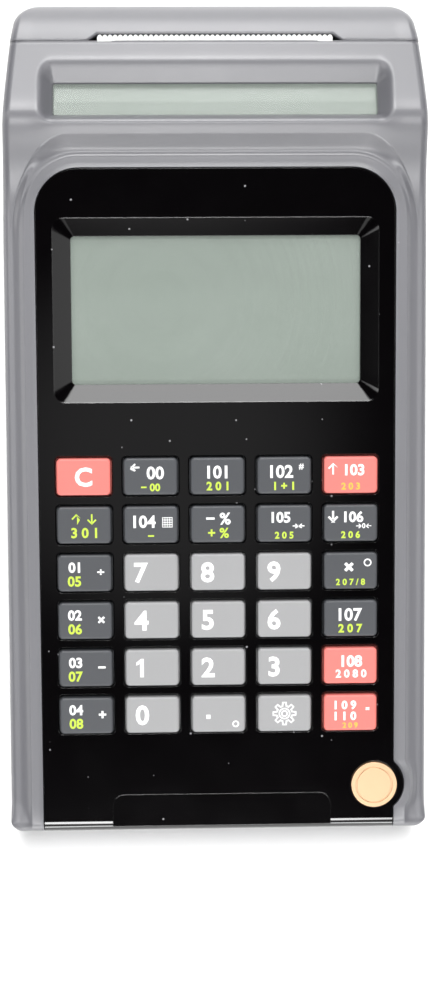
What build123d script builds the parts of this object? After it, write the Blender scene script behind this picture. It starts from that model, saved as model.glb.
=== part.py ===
from build123d import *
import math
import os

# A hand-sized ticket register: a sloped keyboard panel at the front, a raised
# hump with the customer's display, and a lid over the paper roll at the rear.
# Millimetres and degrees. X runs to the right, Y to the rear, Z up. The origin
# is the centre of the footprint, on the surface that the feet stand on.

os.makedirs("parts", exist_ok=True)

# ---- driving dimensions: case ----
CASE_LENGTH = 206.0
CASE_WIDTH = 106.0
WALL = 2.5
FLOOR = 2.0
FOOT_HEIGHT = 2.5
PARTING_Z = 15.0            # plane where the upper case meets the lower case
FRONT_HEIGHT = 23.0         # height of the panel's plane where it starts
PANEL_SLOPE = 12.0
FRONT_ROUND = 3.0
WIDTH_TAPER = 0.4           # how much narrower each side is halfway to the rear
REAR_NARROWING = 3.7        # how much narrower each side is at the lid's corners
REAR_CORNER_DEPTH = 8.8      # the rounded rear corners, along the case
REAR_CORNER_WIDTH = 6.6      # and across it
BOW_SHARE = 0.26             # how much of the narrowing is reached halfway along the bow
CORNER_BULGE = 0.7           # how far along its depth the corner's middle lies
CORNER_CUT = 0.38            # and how far in along its width
REAR_BEND_TO_REAR = 58.0    # from the rear to where the sides start to draw in
PLAN_CORNER = 3.0
BASE_STEP = 1.0             # the floor's edge is stepped in by this, all round

# ---- driving dimensions: front panel, keys and operator display ----
SIDE_STRIP = 8.6            # case left showing on each side of the panel
PANEL_THICKNESS = 2.0
PANEL_CORNER = 10.8
PANEL_END_GAP = 2.8         # from the panel's rear end to the foot of the hump
LEDGE = 3.0                 # width of the shelf that the panel lies on
LEDGE_THICKNESS = 1.5
SEAT_GAP = 0.05
PANEL_GAP = 0.2
KEY_COLUMNS = 5
KEY_ROWS = 6
KEY_MARGIN = 4.4            # from the panel's side edge to the first key
KEY_GAP_X = 3.28
KEY_GAP_U = 2.94
KEY_DEPTH = 9.16
KEY_FRONT = 23.2            # from the panel's front edge to the first row
KEY_CORNER = 1.0
KEY_PROUD = 1.5
KEY_TRAVEL = 1.3
KEY_SIDE_GAP = 0.3
KEY_EDGE_ROUND = 0.5
FLANGE_OVERLAP = 0.75
FLANGE_THICKNESS = 0.8
FLANGE_GAP = 0.3
STEM_RADIUS = 2.5
STEM_GAP = 0.3
BOARD_DEPTH = 8.0           # from the panel's face to the keypad board
BOARD_THICKNESS = 1.6
MAT_THICKNESS = 0.8
MAT_MARGIN = 2.5             # from the keys to the mat's edge
BOARD_MARGIN = 8.0           # and to the keypad board's edge
KEYPAD_POST_RADIUS = 1.6
COLLAR_WALL = 1.1
COLLAR_HEIGHT = 2.2
BEZEL_AFTER_KEYS = 13.8
BEZEL_TO_END = 12.0
BEZEL_SIDE = 4.0            # from the panel's side edge to the bezel
BEZEL_SLOPE = 4.4
BEZEL_DEPTH = 2.8
BEZEL_WALL = 1.0
BEZEL_CORNER = 3.0
WINDOW_CORNER = 1.0
KEY_HOLE_CHAMFER = 0.3
SCOOP_LEFT, SCOOP_RIGHT = -27.0, 28.5   # shallow rest for a thumb along the front edge
SCOOP_REACH = 6.8
SCOOP_DEPTH = 0.35
SCOOP_CORNER = 3.0
PANE_THICKNESS = 1.2
PANE_LIP = 1.2
MODULE_THICKNESS = 5.0

# ---- driving dimensions: seal over the closing screw ----
SEAL_RADIUS = 5.8
SEAL_THICKNESS = 2.0
SEAL_DEPTH = 1.5
SEAL_GROOVE_RADIUS = 4.75
SEAL_GROOVE = 0.4
SEAL_GROOVE_DEPTH = 0.3
SEAL_INSET = 4.8            # from the panel's side edge to the seal's centre
SEAL_FROM_FRONT = 8.8
WELL_GAP = 0.3
WELL_RIM = 1.4
SEAL_BOSS_DEPTH = 5.0

# ---- driving dimensions: hump and customer display ----
CREST_TO_REAR = 34.5
ROLL_SUNK = 33.35           # how much of the paper bay's width lies below the panel's plane
FOOT_TO_CREST = 5.8
SEAM_TO_REAR = 13.7
HUMP_FALL = 6.0             # slope of the hump's top towards the rear
CREST_ROUND = 3.0
FOOT_ROUND = 4.0
HUMP_WALL = 2.5
RECESS_SIDE = 10.5          # from the case's side to the recess
RECESS_START = 1.5
RECESS_LENGTH = 14.3
RECESS_DEPTH = 3.4
RECESS_FRONT_SLOPE = 1.6
RECESS_REAR_SLOPE = 4.7
RECESS_SIDE_SLOPE = 3.0
RECESS_FLOOR = 1.5
RECESS_FLANGE = 1.5          # floor round the customer's window, under the hump's top
GLASS_GAP = 0.1
CUSTOMER_MODULE_MARGIN = 1.5
CUSTOMER_MODULE_THICKNESS = 2.5

# ---- driving dimensions: lid, hinge, paper bay and paper slot ----
LID_GAP = 0.3
LID_BOTTOM_Z = 19.8
HINGE_RADIUS = 2.6
HINGE_Z = 19.5
PIN_RADIUS = 1.0
RUNNING_GAP = 0.05
KNUCKLE_START = 30.0
KNUCKLE_WIDTH = 8.0
PIN_END = 6.0               # how far the pin runs on into the lid's corners
SLOT_HALF_WIDTH = 31.0
SLOT_WIDTH = 1.0
TEAR_BAR_WIDTH = 58.0
TEAR_BAR_REACH = 2.0
TEAR_BAR_IN_FRONT = 0.4      # how much of the tear bar lies in front of the seam
TEAR_BAR_WEB = 2.0           # depth of its stiffening web
TEAR_BAR_THICKNESS = 1.6
TOOTH_PITCH = 1.28
TOOTH_DEPTH = 0.9
BAY_RADIUS = 21.0
BAY_WALL = 1.5
BAY_HALF_WIDTH = 30.0
BAY_TO_REAR = 4.5           # from the case's rear to the bay's wall
BAY_FOOT_HEIGHT = 0.5       # from the floor to the lowest point of the bay's wall
BAY_FOOT_DEPTH = 24.0
BAY_FOOT_THICKNESS = 2.0

# ---- driving dimensions: printing mechanism ----
PLATEN_TO_REAR = 9.8
PLATEN_DROP = 11.0          # from the seam's height to the platen's axis
PLATEN_RADIUS = 4.2
PLATEN_LENGTH = 57.5
SHAFT_RADIUS = 1.5
BUSH_RADIUS = 2.5
ARM_THICKNESS = 1.5
ARM_GAP = 0.5
FRAME_THICKNESS = 1.2
FRAME_GAP = 0.3
FRAME_SKIRT = 6.0           # how far the frame reaches below the motor's axis
FRAME_SEAT_GAP = 0.3        # from the paper bay's cheeks to the frame on them
FRAME_OVER_ROLL = 0.8
GEAR_GAP = 0.7              # from the frame's side to the gears
BRACKET_GAP = 0.6           # from the gears to the motor's bracket
HEAD_TO_FRAME = 4.0         # from the print head's back to the frame's upright
NOTCH_GAP = 0.1
HEAD_THICKNESS = 2.5
HEAD_GAP = 0.3
HEAD_HEIGHT = 12.0
GEAR_MODULE = 0.5
GEAR_WIDTH = 3.0
PLATEN_TEETH = 16
IDLER_TEETH = 24
PINION_TEETH = 14
GEAR_BACKLASH = 0.08
PRESSURE_ANGLE = math.radians(20)
ADDENDUM = 0.95              # in gear modules
DEDENDUM = 1.3
MESH_GAP = 0.04
MOTOR_RADIUS = 7.5
MOTOR_LENGTH = 10.0
MOTOR_SHAFT_RADIUS = 1.0
EAR_REACH = 2.5             # the motor's mounting ears, past its can and to each side
EAR_THICKNESS = 0.8

# ---- driving dimensions: boards, power and fixings ----
MAIN_BOARD_LENGTH = 68.0
MAIN_BOARD_FRONT = 20.0     # from the case's front to the board
MAIN_BOARD_SIDE = 9.0
MAIN_BOARD_Z = 7.0
STAND_INSET = 4.0            # from the board's edges to its stands
STAND_RADIUS = 2.5
STAND_PIN_RADIUS = 1.2
STAND_HOLE_RADIUS = 1.35
SOCKET_INSET = 0.5
BATTERY_LENGTH = 66.0
BATTERY_DIAMETER = 18.6
BATTERY_TO_REAR = 89.0      # from the case's rear to the pack's centre
BATTERY_GAP = 0.4
COMPARTMENT_WALL = 1.4
COMPARTMENT_HEIGHT = 12.0
DOOR_THICKNESS = 1.2
DOOR_LIP = 3.0
DOOR_GAP = 0.2
SCREW_RADIUS = 1.5
SCREW_HEAD_RADIUS = 2.75
SCREW_HEAD_HEIGHT = 2.0
SCREW_LENGTH = 12.0
SCREW_CLEARANCE = 0.2
CROSS_LENGTH = 4.0           # cross slot in each screw's head
CROSS_WIDTH = 0.8
CROSS_DEPTH = 0.7
POST_RADIUS = 4.2
POST_FROM_SIDE = 7.2
FOOT_RADIUS = 5.0
FOOT_RECESS = 0.8
FOOT_CHAMFER = 0.5
FOOT_FROM_SIDE = 13.0
FOOT_FROM_END = 21.0

# ---- sizes that follow ----
HALF_LENGTH = CASE_LENGTH / 2
HALF_WIDTH = CASE_WIDTH / 2
FRONT_Y = -HALF_LENGTH
REAR_Y = HALF_LENGTH
SLOPE = math.radians(PANEL_SLOPE)
FALL = math.radians(HUMP_FALL)
BOTTOM_Z = FOOT_HEIGHT
INNER_FLOOR_Z = BOTTOM_Z + FLOOR
ROUND_REACH = FRONT_ROUND * math.tan((math.pi / 2 - SLOPE) / 2)
PANEL_START_Y = FRONT_Y + ROUND_REACH * math.cos(SLOPE)
CORNER_Z = FRONT_HEIGHT - ROUND_REACH * math.sin(SLOPE)
DECK = PANEL_THICKNESS + SEAT_GAP + LEDGE_THICKNESS
FAR = 2 * CASE_LENGTH
CREST_RISE = 2 * BAY_RADIUS - ROLL_SUNK


def panel_height(y):
    """Height of the panel's plane at a distance y."""
    return FRONT_HEIGHT + (y - PANEL_START_Y) * math.tan(SLOPE)


CREST_Y = REAR_Y - CREST_TO_REAR
CREST_Z = panel_height(CREST_Y) + CREST_RISE
SEAM_Y = REAR_Y - SEAM_TO_REAR
SEAM_Z = CREST_Z - (SEAM_Y - CREST_Y) * math.tan(FALL)
HUMP_FOOT_Y = CREST_Y - FOOT_TO_CREST
HUMP_FOOT_Z = panel_height(HUMP_FOOT_Y)
LID_ARC = (REAR_Y - SEAM_Y) / math.cos(FALL) / math.tan((math.pi / 2 - FALL) / 2)
PANEL_HALF_WIDTH = HALF_WIDTH - SIDE_STRIP
PANEL_LENGTH = (HUMP_FOOT_Y - PANEL_START_Y) / math.cos(SLOPE) - PANEL_END_GAP
KEY_WIDTH = (2 * (PANEL_HALF_WIDTH - KEY_MARGIN) - (KEY_COLUMNS - 1) * KEY_GAP_X) / KEY_COLUMNS
KEY_PITCH_X = KEY_WIDTH + KEY_GAP_X
KEY_PITCH_U = KEY_DEPTH + KEY_GAP_U
KEYS_END = KEY_FRONT + KEY_ROWS * KEY_PITCH_U - KEY_GAP_U
BEZEL_START = KEYS_END + BEZEL_AFTER_KEYS
BEZEL_LENGTH = PANEL_LENGTH - BEZEL_TO_END - BEZEL_START
BEZEL_HALF_WIDTH = PANEL_HALF_WIDTH - BEZEL_SIDE
BEZEL_MIDDLE = BEZEL_START + BEZEL_LENGTH / 2
WINDOW_HALF_WIDTH = BEZEL_HALF_WIDTH - BEZEL_SLOPE
WINDOW_LENGTH = BEZEL_LENGTH - 2 * BEZEL_SLOPE
SEAL_X = PANEL_HALF_WIDTH - SEAL_INSET
HINGE_Y = REAR_Y - HINGE_RADIUS
PLATEN_Y = REAR_Y - PLATEN_TO_REAR
PLATEN_Z = SEAM_Z - PLATEN_DROP
ARM_X = PLATEN_LENGTH / 2 + ARM_GAP
FRAME_X = ARM_X + ARM_THICKNESS + FRAME_GAP
GEAR_X = FRAME_X + FRAME_THICKNESS + GEAR_GAP
PLATEN_PITCH = GEAR_MODULE * PLATEN_TEETH / 2
IDLER_PITCH = GEAR_MODULE * IDLER_TEETH / 2
PINION_PITCH = GEAR_MODULE * PINION_TEETH / 2
OPENING_ANGLE = math.atan2(HINGE_Y - PLATEN_Y, PLATEN_Z - HINGE_Z)
IDLER_REACH = PLATEN_PITCH + IDLER_PITCH + MESH_GAP
IDLER_Y = PLATEN_Y - IDLER_REACH * math.cos(OPENING_ANGLE)
IDLER_Z = PLATEN_Z - IDLER_REACH * math.sin(OPENING_ANGLE)
PINION_ANGLE = math.radians(225)
PINION_REACH = IDLER_PITCH + PINION_PITCH + MESH_GAP
PINION_Y = IDLER_Y + PINION_REACH * math.cos(PINION_ANGLE)
PINION_Z = IDLER_Z + PINION_REACH * math.sin(PINION_ANGLE)
BRACKET_X = GEAR_X + GEAR_WIDTH + BRACKET_GAP
MOTOR_X = BRACKET_X + FRAME_THICKNESS
HEAD_Y = PLATEN_Y - PLATEN_RADIUS - HEAD_GAP - HEAD_THICKNESS
BAY_OUTER = BAY_RADIUS + BAY_WALL
BAY_Y = REAR_Y - BAY_TO_REAR - BAY_OUTER
BAY_CENTRE_Z = INNER_FLOOR_Z + BAY_FOOT_HEIGHT + BAY_OUTER
FRAME_LOW = PINION_Z - FRAME_SKIRT
BAY_SIDE_HEIGHT = FRAME_LOW - FRAME_SEAT_GAP
BATTERY_Y = REAR_Y - BATTERY_TO_REAR
MAIN_BOARD_Y = FRONT_Y + MAIN_BOARD_FRONT
POST_HALF_X = HALF_WIDTH - POST_FROM_SIDE

PANEL_PLANE = Plane(
    origin=(0, PANEL_START_Y, FRONT_HEIGHT),
    x_dir=(1, 0, 0),
    z_dir=(0, -math.sin(SLOPE), math.cos(SLOPE)),
)
HUMP_PLANE = Plane(
    origin=(0, CREST_Y, CREST_Z),
    x_dir=(1, 0, 0),
    z_dir=(0, math.sin(FALL), math.cos(FALL)),
)


# ---- shared shapes ----
def rounded_face(corners):
    """Closed flat face through (a, b, radius) corners."""
    edges = []
    spans = []
    for index, (a, b, radius) in enumerate(corners):
        here = Vector(a, b)
        before = Vector(*corners[index - 1][:2])
        after = Vector(*corners[(index + 1) % len(corners)][:2])
        if radius == 0:
            spans.append((here, here))
            continue
        back = (before - here).normalized()
        on = (after - here).normalized()
        half = math.radians(back.get_angle(on)) / 2
        reach = radius / math.tan(half)
        inward = (back + on).normalized()
        middle = here + inward * (radius / math.sin(half) - radius)
        spans.append((here + back * reach, here + on * reach))
        edges.append(ThreePointArc(here + back * reach, middle, here + on * reach))
    for index, span in enumerate(spans):
        edges.append(Line(spans[index - 1][1], span[0]))
    return make_face(edges)


def along_x(face, start, end):
    """Solid made by sweeping a face drawn in (y, z) from one x to another."""
    return extrude(Plane.YZ.offset(start) * face, amount=end - start)


def rod_x(radius, y, z, start, end):
    """Round bar along X."""
    return along_x(Pos(y, z) * Circle(radius), start, end)


def rod_z(radius, x, y, bottom, top):
    """Round bar along Z."""
    return extrude(Plane.XY.offset(bottom) * Pos(x, y) * Circle(radius), amount=top - bottom)


def block(x_range, y_range, z_range):
    """Box between two corners."""
    size = [end - start for start, end in (x_range, y_range, z_range)]
    middle = [(end + start) / 2 for start, end in (x_range, y_range, z_range)]
    return Pos(*middle) * Box(*size)


def on_panel(face, low, high):
    """Sweep a face drawn on the panel's plane between two heights above it."""
    return extrude(PANEL_PLANE.offset(low) * face, amount=high - low)


def on_hump(face, low, high):
    """Sweep a face drawn on the hump's top plane between two heights above it."""
    return extrude(HUMP_PLANE.offset(low) * face, amount=high - low)


def plan_face(inset):
    """Outline of the case seen from above, moved in by an inset."""
    front = FRONT_Y + inset
    rear = REAR_Y - inset
    wide = HALF_WIDTH - inset
    waist = wide - WIDTH_TAPER
    shoulder = wide - REAR_NARROWING
    flat = shoulder - REAR_CORNER_WIDTH + 0.4 * inset
    bend_y = REAR_Y - REAR_BEND_TO_REAR
    shoulder_y = REAR_Y - REAR_CORNER_DEPTH - 0.3 * inset
    corner = PLAN_CORNER - inset * 0.9
    cut = corner * (1 - math.sqrt(0.5))
    edges = []
    for side in (1, -1):
        edges.append(Line((side * wide, front + corner), (side * waist, bend_y)))
        edges.append(ThreePointArc(
            (side * waist, bend_y),
            (side * (waist - BOW_SHARE * REAR_NARROWING), (bend_y + shoulder_y) / 2),
            (side * shoulder, shoulder_y),
        ))
        edges.append(ThreePointArc(
            (side * shoulder, shoulder_y),
            (side * (shoulder - CORNER_CUT * (shoulder - flat)),
             shoulder_y + CORNER_BULGE * (rear - shoulder_y)),
            (side * flat, rear),
        ))
        edges.append(ThreePointArc(
            (side * wide, front + corner),
            (side * (wide - cut), front + cut),
            (side * (wide - corner), front),
        ))
    edges.append(Line((-flat, rear), (flat, rear)))
    edges.append(Line((corner - wide, front), (wide - corner, front)))
    return make_face(edges)


def plan_block(inset, bottom, top):
    """The case's outline as an upright block."""
    return extrude(Plane.XY.offset(bottom) * plan_face(inset), amount=top - bottom)


def envelope():
    """Outer shape of the case above the parting plane, up to the lid's seam."""
    side = rounded_face([
        (FRONT_Y, PARTING_Z, 0),
        (FRONT_Y, CORNER_Z, FRONT_ROUND),
        (HUMP_FOOT_Y, HUMP_FOOT_Z, FOOT_ROUND),
        (CREST_Y, CREST_Z, CREST_ROUND),
        (SEAM_Y, SEAM_Z, 0),
        (SEAM_Y, PARTING_Z, 0),
    ])
    return along_x(side, -HALF_WIDTH, HALF_WIDTH) & plan_block(0, PARTING_Z, CREST_Z)


def case_cavity():
    """Hollow inside the upper case."""
    deck = DECK / math.cos(SLOPE)
    roof = HUMP_WALL / math.cos(FALL)
    side = rounded_face([
        (FRONT_Y + DECK, PARTING_Z - 1, 0),
        (FRONT_Y + DECK, panel_height(FRONT_Y + DECK) - deck, 0),
        (HUMP_FOOT_Y + HUMP_WALL, panel_height(HUMP_FOOT_Y + HUMP_WALL) - deck, 0),
        (CREST_Y + HUMP_WALL / 2, CREST_Z - roof - 0.2, 0),
        (SEAM_Y + 1, SEAM_Z - roof - math.tan(FALL), 0),
        (SEAM_Y + 1, PARTING_Z - 1, 0),
    ])
    return along_x(side, -HALF_WIDTH, HALF_WIDTH) & plan_block(WALL, PARTING_Z - 1, CREST_Z)


def panel_outline(grow):
    """Face of the front panel on its own plane, running past its front edge."""
    half = PANEL_HALF_WIDTH + grow
    end = PANEL_LENGTH + grow
    corner = PANEL_CORNER + grow
    start = -4 * FRONT_ROUND
    return rounded_face([
        (-half, start, 0),
        (half, start, 0),
        (half, end, corner),
        (-half, end, corner),
    ])


def key_positions():
    """Centre of each key on the panel, from the top row's left end."""
    first_x = -(KEY_COLUMNS - 1) / 2 * KEY_PITCH_X
    first_u = KEYS_END - KEY_DEPTH / 2
    return [
        (first_x + column * KEY_PITCH_X, first_u - row * KEY_PITCH_U)
        for row in range(KEY_ROWS)
        for column in range(KEY_COLUMNS)
    ]


def key_rectangle(grow):
    """Outline of a key moved out by an amount."""
    return RectangleRounded(KEY_WIDTH + 2 * grow, KEY_DEPTH + 2 * grow, KEY_CORNER + grow / 2)


def closing_posts():
    """Places of the three closing screws that are driven from below."""
    rear_y = BAY_Y - BAY_RADIUS - BAY_WALL - 2 * POST_RADIUS
    return [
        (-POST_HALF_X, FRONT_Y + POST_FROM_SIDE + PLAN_CORNER),
        (-POST_HALF_X + WIDTH_TAPER, rear_y),
        (POST_HALF_X - WIDTH_TAPER, rear_y),
    ]


# ---- sockets in the left side ----
SOCKET_Z = MAIN_BOARD_Z + BOARD_THICKNESS
JACK_SIZE = (14.0, 9.0, 9.0)            # depth, width and height
DRAWER_SIZE = (14.0, 12.0, 11.5)
SERIAL_SIZE = (16.0, 16.0, 13.5)
DRAWER_MOUTH = (9.8, 6.6)               # width and height
SERIAL_MOUTH = (11.8, 7.0)
MOUTH_RAISED = 0.8                      # how far the mouth lies above the socket's middle
CLIP_SLOT_DEPTH = 1.8
SOCKET_BACK = 2.5                       # wall behind the mouth
JACK_BORE_RADIUS = 2.85
JACK_PIN_RADIUS = 1.0
BOARD_TO_JACK = 10.0
JACK_TO_DRAWER = 20.0
DRAWER_TO_SERIAL = 21.0
JACK_Y = MAIN_BOARD_Y + BOARD_TO_JACK
DRAWER_Y = JACK_Y + JACK_TO_DRAWER
SERIAL_Y = DRAWER_Y + DRAWER_TO_SERIAL
SOCKET_FACE_X = SOCKET_INSET - HALF_WIDTH + WIDTH_TAPER
SOCKET_GAP = 0.2


def socket_body(size, y, grow):
    """Box of a socket, with its face just inside the left wall."""
    depth, width, height = size
    return block(
        (SOCKET_FACE_X - grow * 20, SOCKET_FACE_X + depth + grow),
        (y - width / 2 - grow, y + width / 2 + grow),
        (SOCKET_Z - grow, SOCKET_Z + height + grow),
    )


def socket_cuts():
    """Openings for the three sockets through the left wall."""
    cuts = socket_body(JACK_SIZE, JACK_Y, SOCKET_GAP)
    cuts += socket_body(DRAWER_SIZE, DRAWER_Y, SOCKET_GAP)
    cuts += socket_body(SERIAL_SIZE, SERIAL_Y, SOCKET_GAP)
    return cuts


def dc_jack():
    """Charging socket: a barrel with its centre pin."""
    depth, width, height = JACK_SIZE
    z = SOCKET_Z + height / 2
    body = socket_body(JACK_SIZE, JACK_Y, 0)
    body -= rod_x(JACK_BORE_RADIUS, JACK_Y, z, SOCKET_FACE_X - 1, SOCKET_FACE_X + depth - SOCKET_BACK)
    return body + rod_x(JACK_PIN_RADIUS, JACK_Y, z, SOCKET_FACE_X + 1, SOCKET_FACE_X + depth - 1)


def modular_socket(size, y, mouth):
    """Square socket with a stepped mouth for a clip."""
    depth, width, height = size
    mouth_width, mouth_height = mouth
    low = SOCKET_Z + (height - mouth_height) / 2 + MOUTH_RAISED
    reach = SOCKET_FACE_X + depth - SOCKET_BACK
    body = socket_body(size, y, 0)
    body -= block(
        (SOCKET_FACE_X - 1, reach),
        (y - mouth_width / 2, y + mouth_width / 2),
        (low, low + mouth_height),
    )
    body -= block(
        (SOCKET_FACE_X - 1, reach),
        (y - mouth_width / 4, y + mouth_width / 4),
        (low - CLIP_SLOT_DEPTH, low + 1),
    )
    return body


def side_sockets():
    """Charging jack, drawer socket and serial socket."""
    drawer = modular_socket(DRAWER_SIZE, DRAWER_Y, DRAWER_MOUTH)
    serial = modular_socket(SERIAL_SIZE, SERIAL_Y, SERIAL_MOUTH)
    return [dc_jack(), drawer, serial]


# ---- case ----
def hinge_clearance(gap):
    """Room around the hinge's barrel and behind it."""
    room = rod_x(HINGE_RADIUS + gap, HINGE_Y, HINGE_Z, -HALF_WIDTH, HALF_WIDTH)
    return room + block(
        (-HALF_WIDTH, HALF_WIDTH),
        (HINGE_Y, REAR_Y + 1),
        (HINGE_Z - HINGE_RADIUS - gap, HINGE_Z + HINGE_RADIUS),
    )


def case_knuckles():
    """The two hinge knuckles that rise from the rear wall."""
    knuckles = []
    for side in (1, -1):
        start = KNUCKLE_START if side > 0 else -KNUCKLE_START - KNUCKLE_WIDTH
        barrel = rod_x(HINGE_RADIUS, HINGE_Y, HINGE_Z, start, start + KNUCKLE_WIDTH)
        web = block(
            (start, start + KNUCKLE_WIDTH),
            (HINGE_Y - HINGE_RADIUS, REAR_Y),
            (PARTING_Z - 1, HINGE_Z),
        )
        knuckles.append(barrel + web)
    return knuckles


def screw_shape(x, y, head_z, length):
    """Screw with its head down and its shank pointing up."""
    head = rod_z(SCREW_HEAD_RADIUS, x, y, head_z, head_z + SCREW_HEAD_HEIGHT)
    long, thin = CROSS_LENGTH / 2, CROSS_WIDTH / 2
    slot = block((x - long, x + long), (y - thin, y + thin), (head_z - 1, head_z + CROSS_DEPTH))
    cross = block((x - thin, x + thin), (y - long, y + long), (head_z - 1, head_z + CROSS_DEPTH))
    shank_start = head_z + SCREW_HEAD_HEIGHT
    return head + rod_z(SCREW_RADIUS, x, y, shank_start, shank_start + length) - slot - cross


DOOR_SCREW_Y = BATTERY_Y + BATTERY_DIAMETER + BATTERY_GAP + DOOR_LIP + POST_RADIUS
DOOR_TAB = 3.2
DOOR_HALF_X = BATTERY_LENGTH / 2 + BATTERY_GAP + DOOR_LIP
DOOR_HALF_Y = BATTERY_DIAMETER + BATTERY_GAP + DOOR_LIP


def battery_door_shape(grow):
    """Door under the battery, with a thick tab for its screw."""
    plate = block(
        (-DOOR_HALF_X - grow, DOOR_HALF_X + grow),
        (BATTERY_Y - DOOR_HALF_Y - grow, BATTERY_Y + DOOR_HALF_Y + grow),
        (BOTTOM_Z - grow, BOTTOM_Z + DOOR_THICKNESS),
    )
    tab = rod_z(POST_RADIUS + grow, 0, DOOR_SCREW_Y, BOTTOM_Z - grow, BOTTOM_Z + DOOR_TAB)
    bridge = block(
        (-POST_RADIUS - grow, POST_RADIUS + grow),
        (BATTERY_Y + DOOR_HALF_Y - 1, DOOR_SCREW_Y),
        (BOTTOM_Z - grow, BOTTOM_Z + DOOR_THICKNESS),
    )
    return plate + tab + bridge


def battery_door():
    """Screwed door under the battery."""
    door = battery_door_shape(0)
    door -= rod_z(
        SCREW_HEAD_RADIUS + SCREW_CLEARANCE, 0, DOOR_SCREW_Y,
        BOTTOM_Z - 1, BOTTOM_Z + DOOR_TAB - 1,
    )
    return door - rod_z(SCREW_RADIUS + SCREW_CLEARANCE, 0, DOOR_SCREW_Y, 0, PARTING_Z)


POST_HEAD_Z = INNER_FLOOR_Z


def seal_axis_rod(radius, low, high):
    """Round bar on the seal's axis, square to the panel."""
    return on_panel(Pos(SEAL_X, SEAL_FROM_FRONT) * Circle(radius), low, high)


def paper_bay():
    """Trough for the paper roll, with two side cheeks and two feet."""
    outer = BAY_OUTER
    cheek = rounded_face([
        (BAY_Y - outer, BAY_CENTRE_Z, 0),
        (BAY_Y - outer + 2, BAY_SIDE_HEIGHT, 0),
        (BAY_Y + outer - 12, BAY_SIDE_HEIGHT, 0),
        (BAY_Y + outer, BAY_CENTRE_Z, 0),
    ])
    section = cheek + Pos(BAY_Y, BAY_CENTRE_Z) * Circle(outer)
    section -= Pos(BAY_Y, BAY_CENTRE_Z + outer + BAY_SIDE_HEIGHT - BAY_CENTRE_Z) * Rectangle(
        2 * outer + 2, 2 * outer)
    reach = BAY_HALF_WIDTH + BAY_WALL
    bay = along_x(section, -reach, reach)
    room = Pos(BAY_Y, BAY_CENTRE_Z) * Circle(BAY_RADIUS)
    room += Pos(BAY_Y, BAY_CENTRE_Z + outer) * Rectangle(2 * BAY_RADIUS, 2 * outer)
    bay -= along_x(room, -BAY_HALF_WIDTH, BAY_HALF_WIDTH)
    bay -= block(
        (-BAY_HALF_WIDTH, BAY_HALF_WIDTH),
        (BAY_Y - outer - 1, BAY_Y + outer + 1),
        (BAY_CENTRE_Z + 2, BAY_SIDE_HEIGHT + 1),
    )
    half = BAY_FOOT_THICKNESS / 2
    foot_top = BAY_CENTRE_Z - math.sqrt(BAY_RADIUS**2 - (BAY_FOOT_DEPTH / 2) ** 2) - 0.2
    feet = Pos(BAY_Y, (INNER_FLOOR_Z + foot_top) / 2) * Rectangle(
        BAY_FOOT_DEPTH, foot_top - INNER_FLOOR_Z)
    feet -= room
    for x in (-reach / 2, reach / 2):
        bay += along_x(feet, x - half, x + half)
    return bay


def board_stands():
    """Places of the four stands under the main board."""
    half_x = HALF_WIDTH - MAIN_BOARD_SIDE - STAND_INSET
    return [
        (side * half_x, y)
        for side in (-1, 1)
        for y in (MAIN_BOARD_Y + STAND_INSET, MAIN_BOARD_Y + MAIN_BOARD_LENGTH - STAND_INSET)
    ]


def foot_places():
    """Places of the four feet."""
    half_x = HALF_WIDTH - FOOT_FROM_SIDE
    half_y = HALF_LENGTH - FOOT_FROM_END
    return [(sx * half_x, sy * half_y) for sx in (-1, 1) for sy in (-1, 1)]


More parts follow.
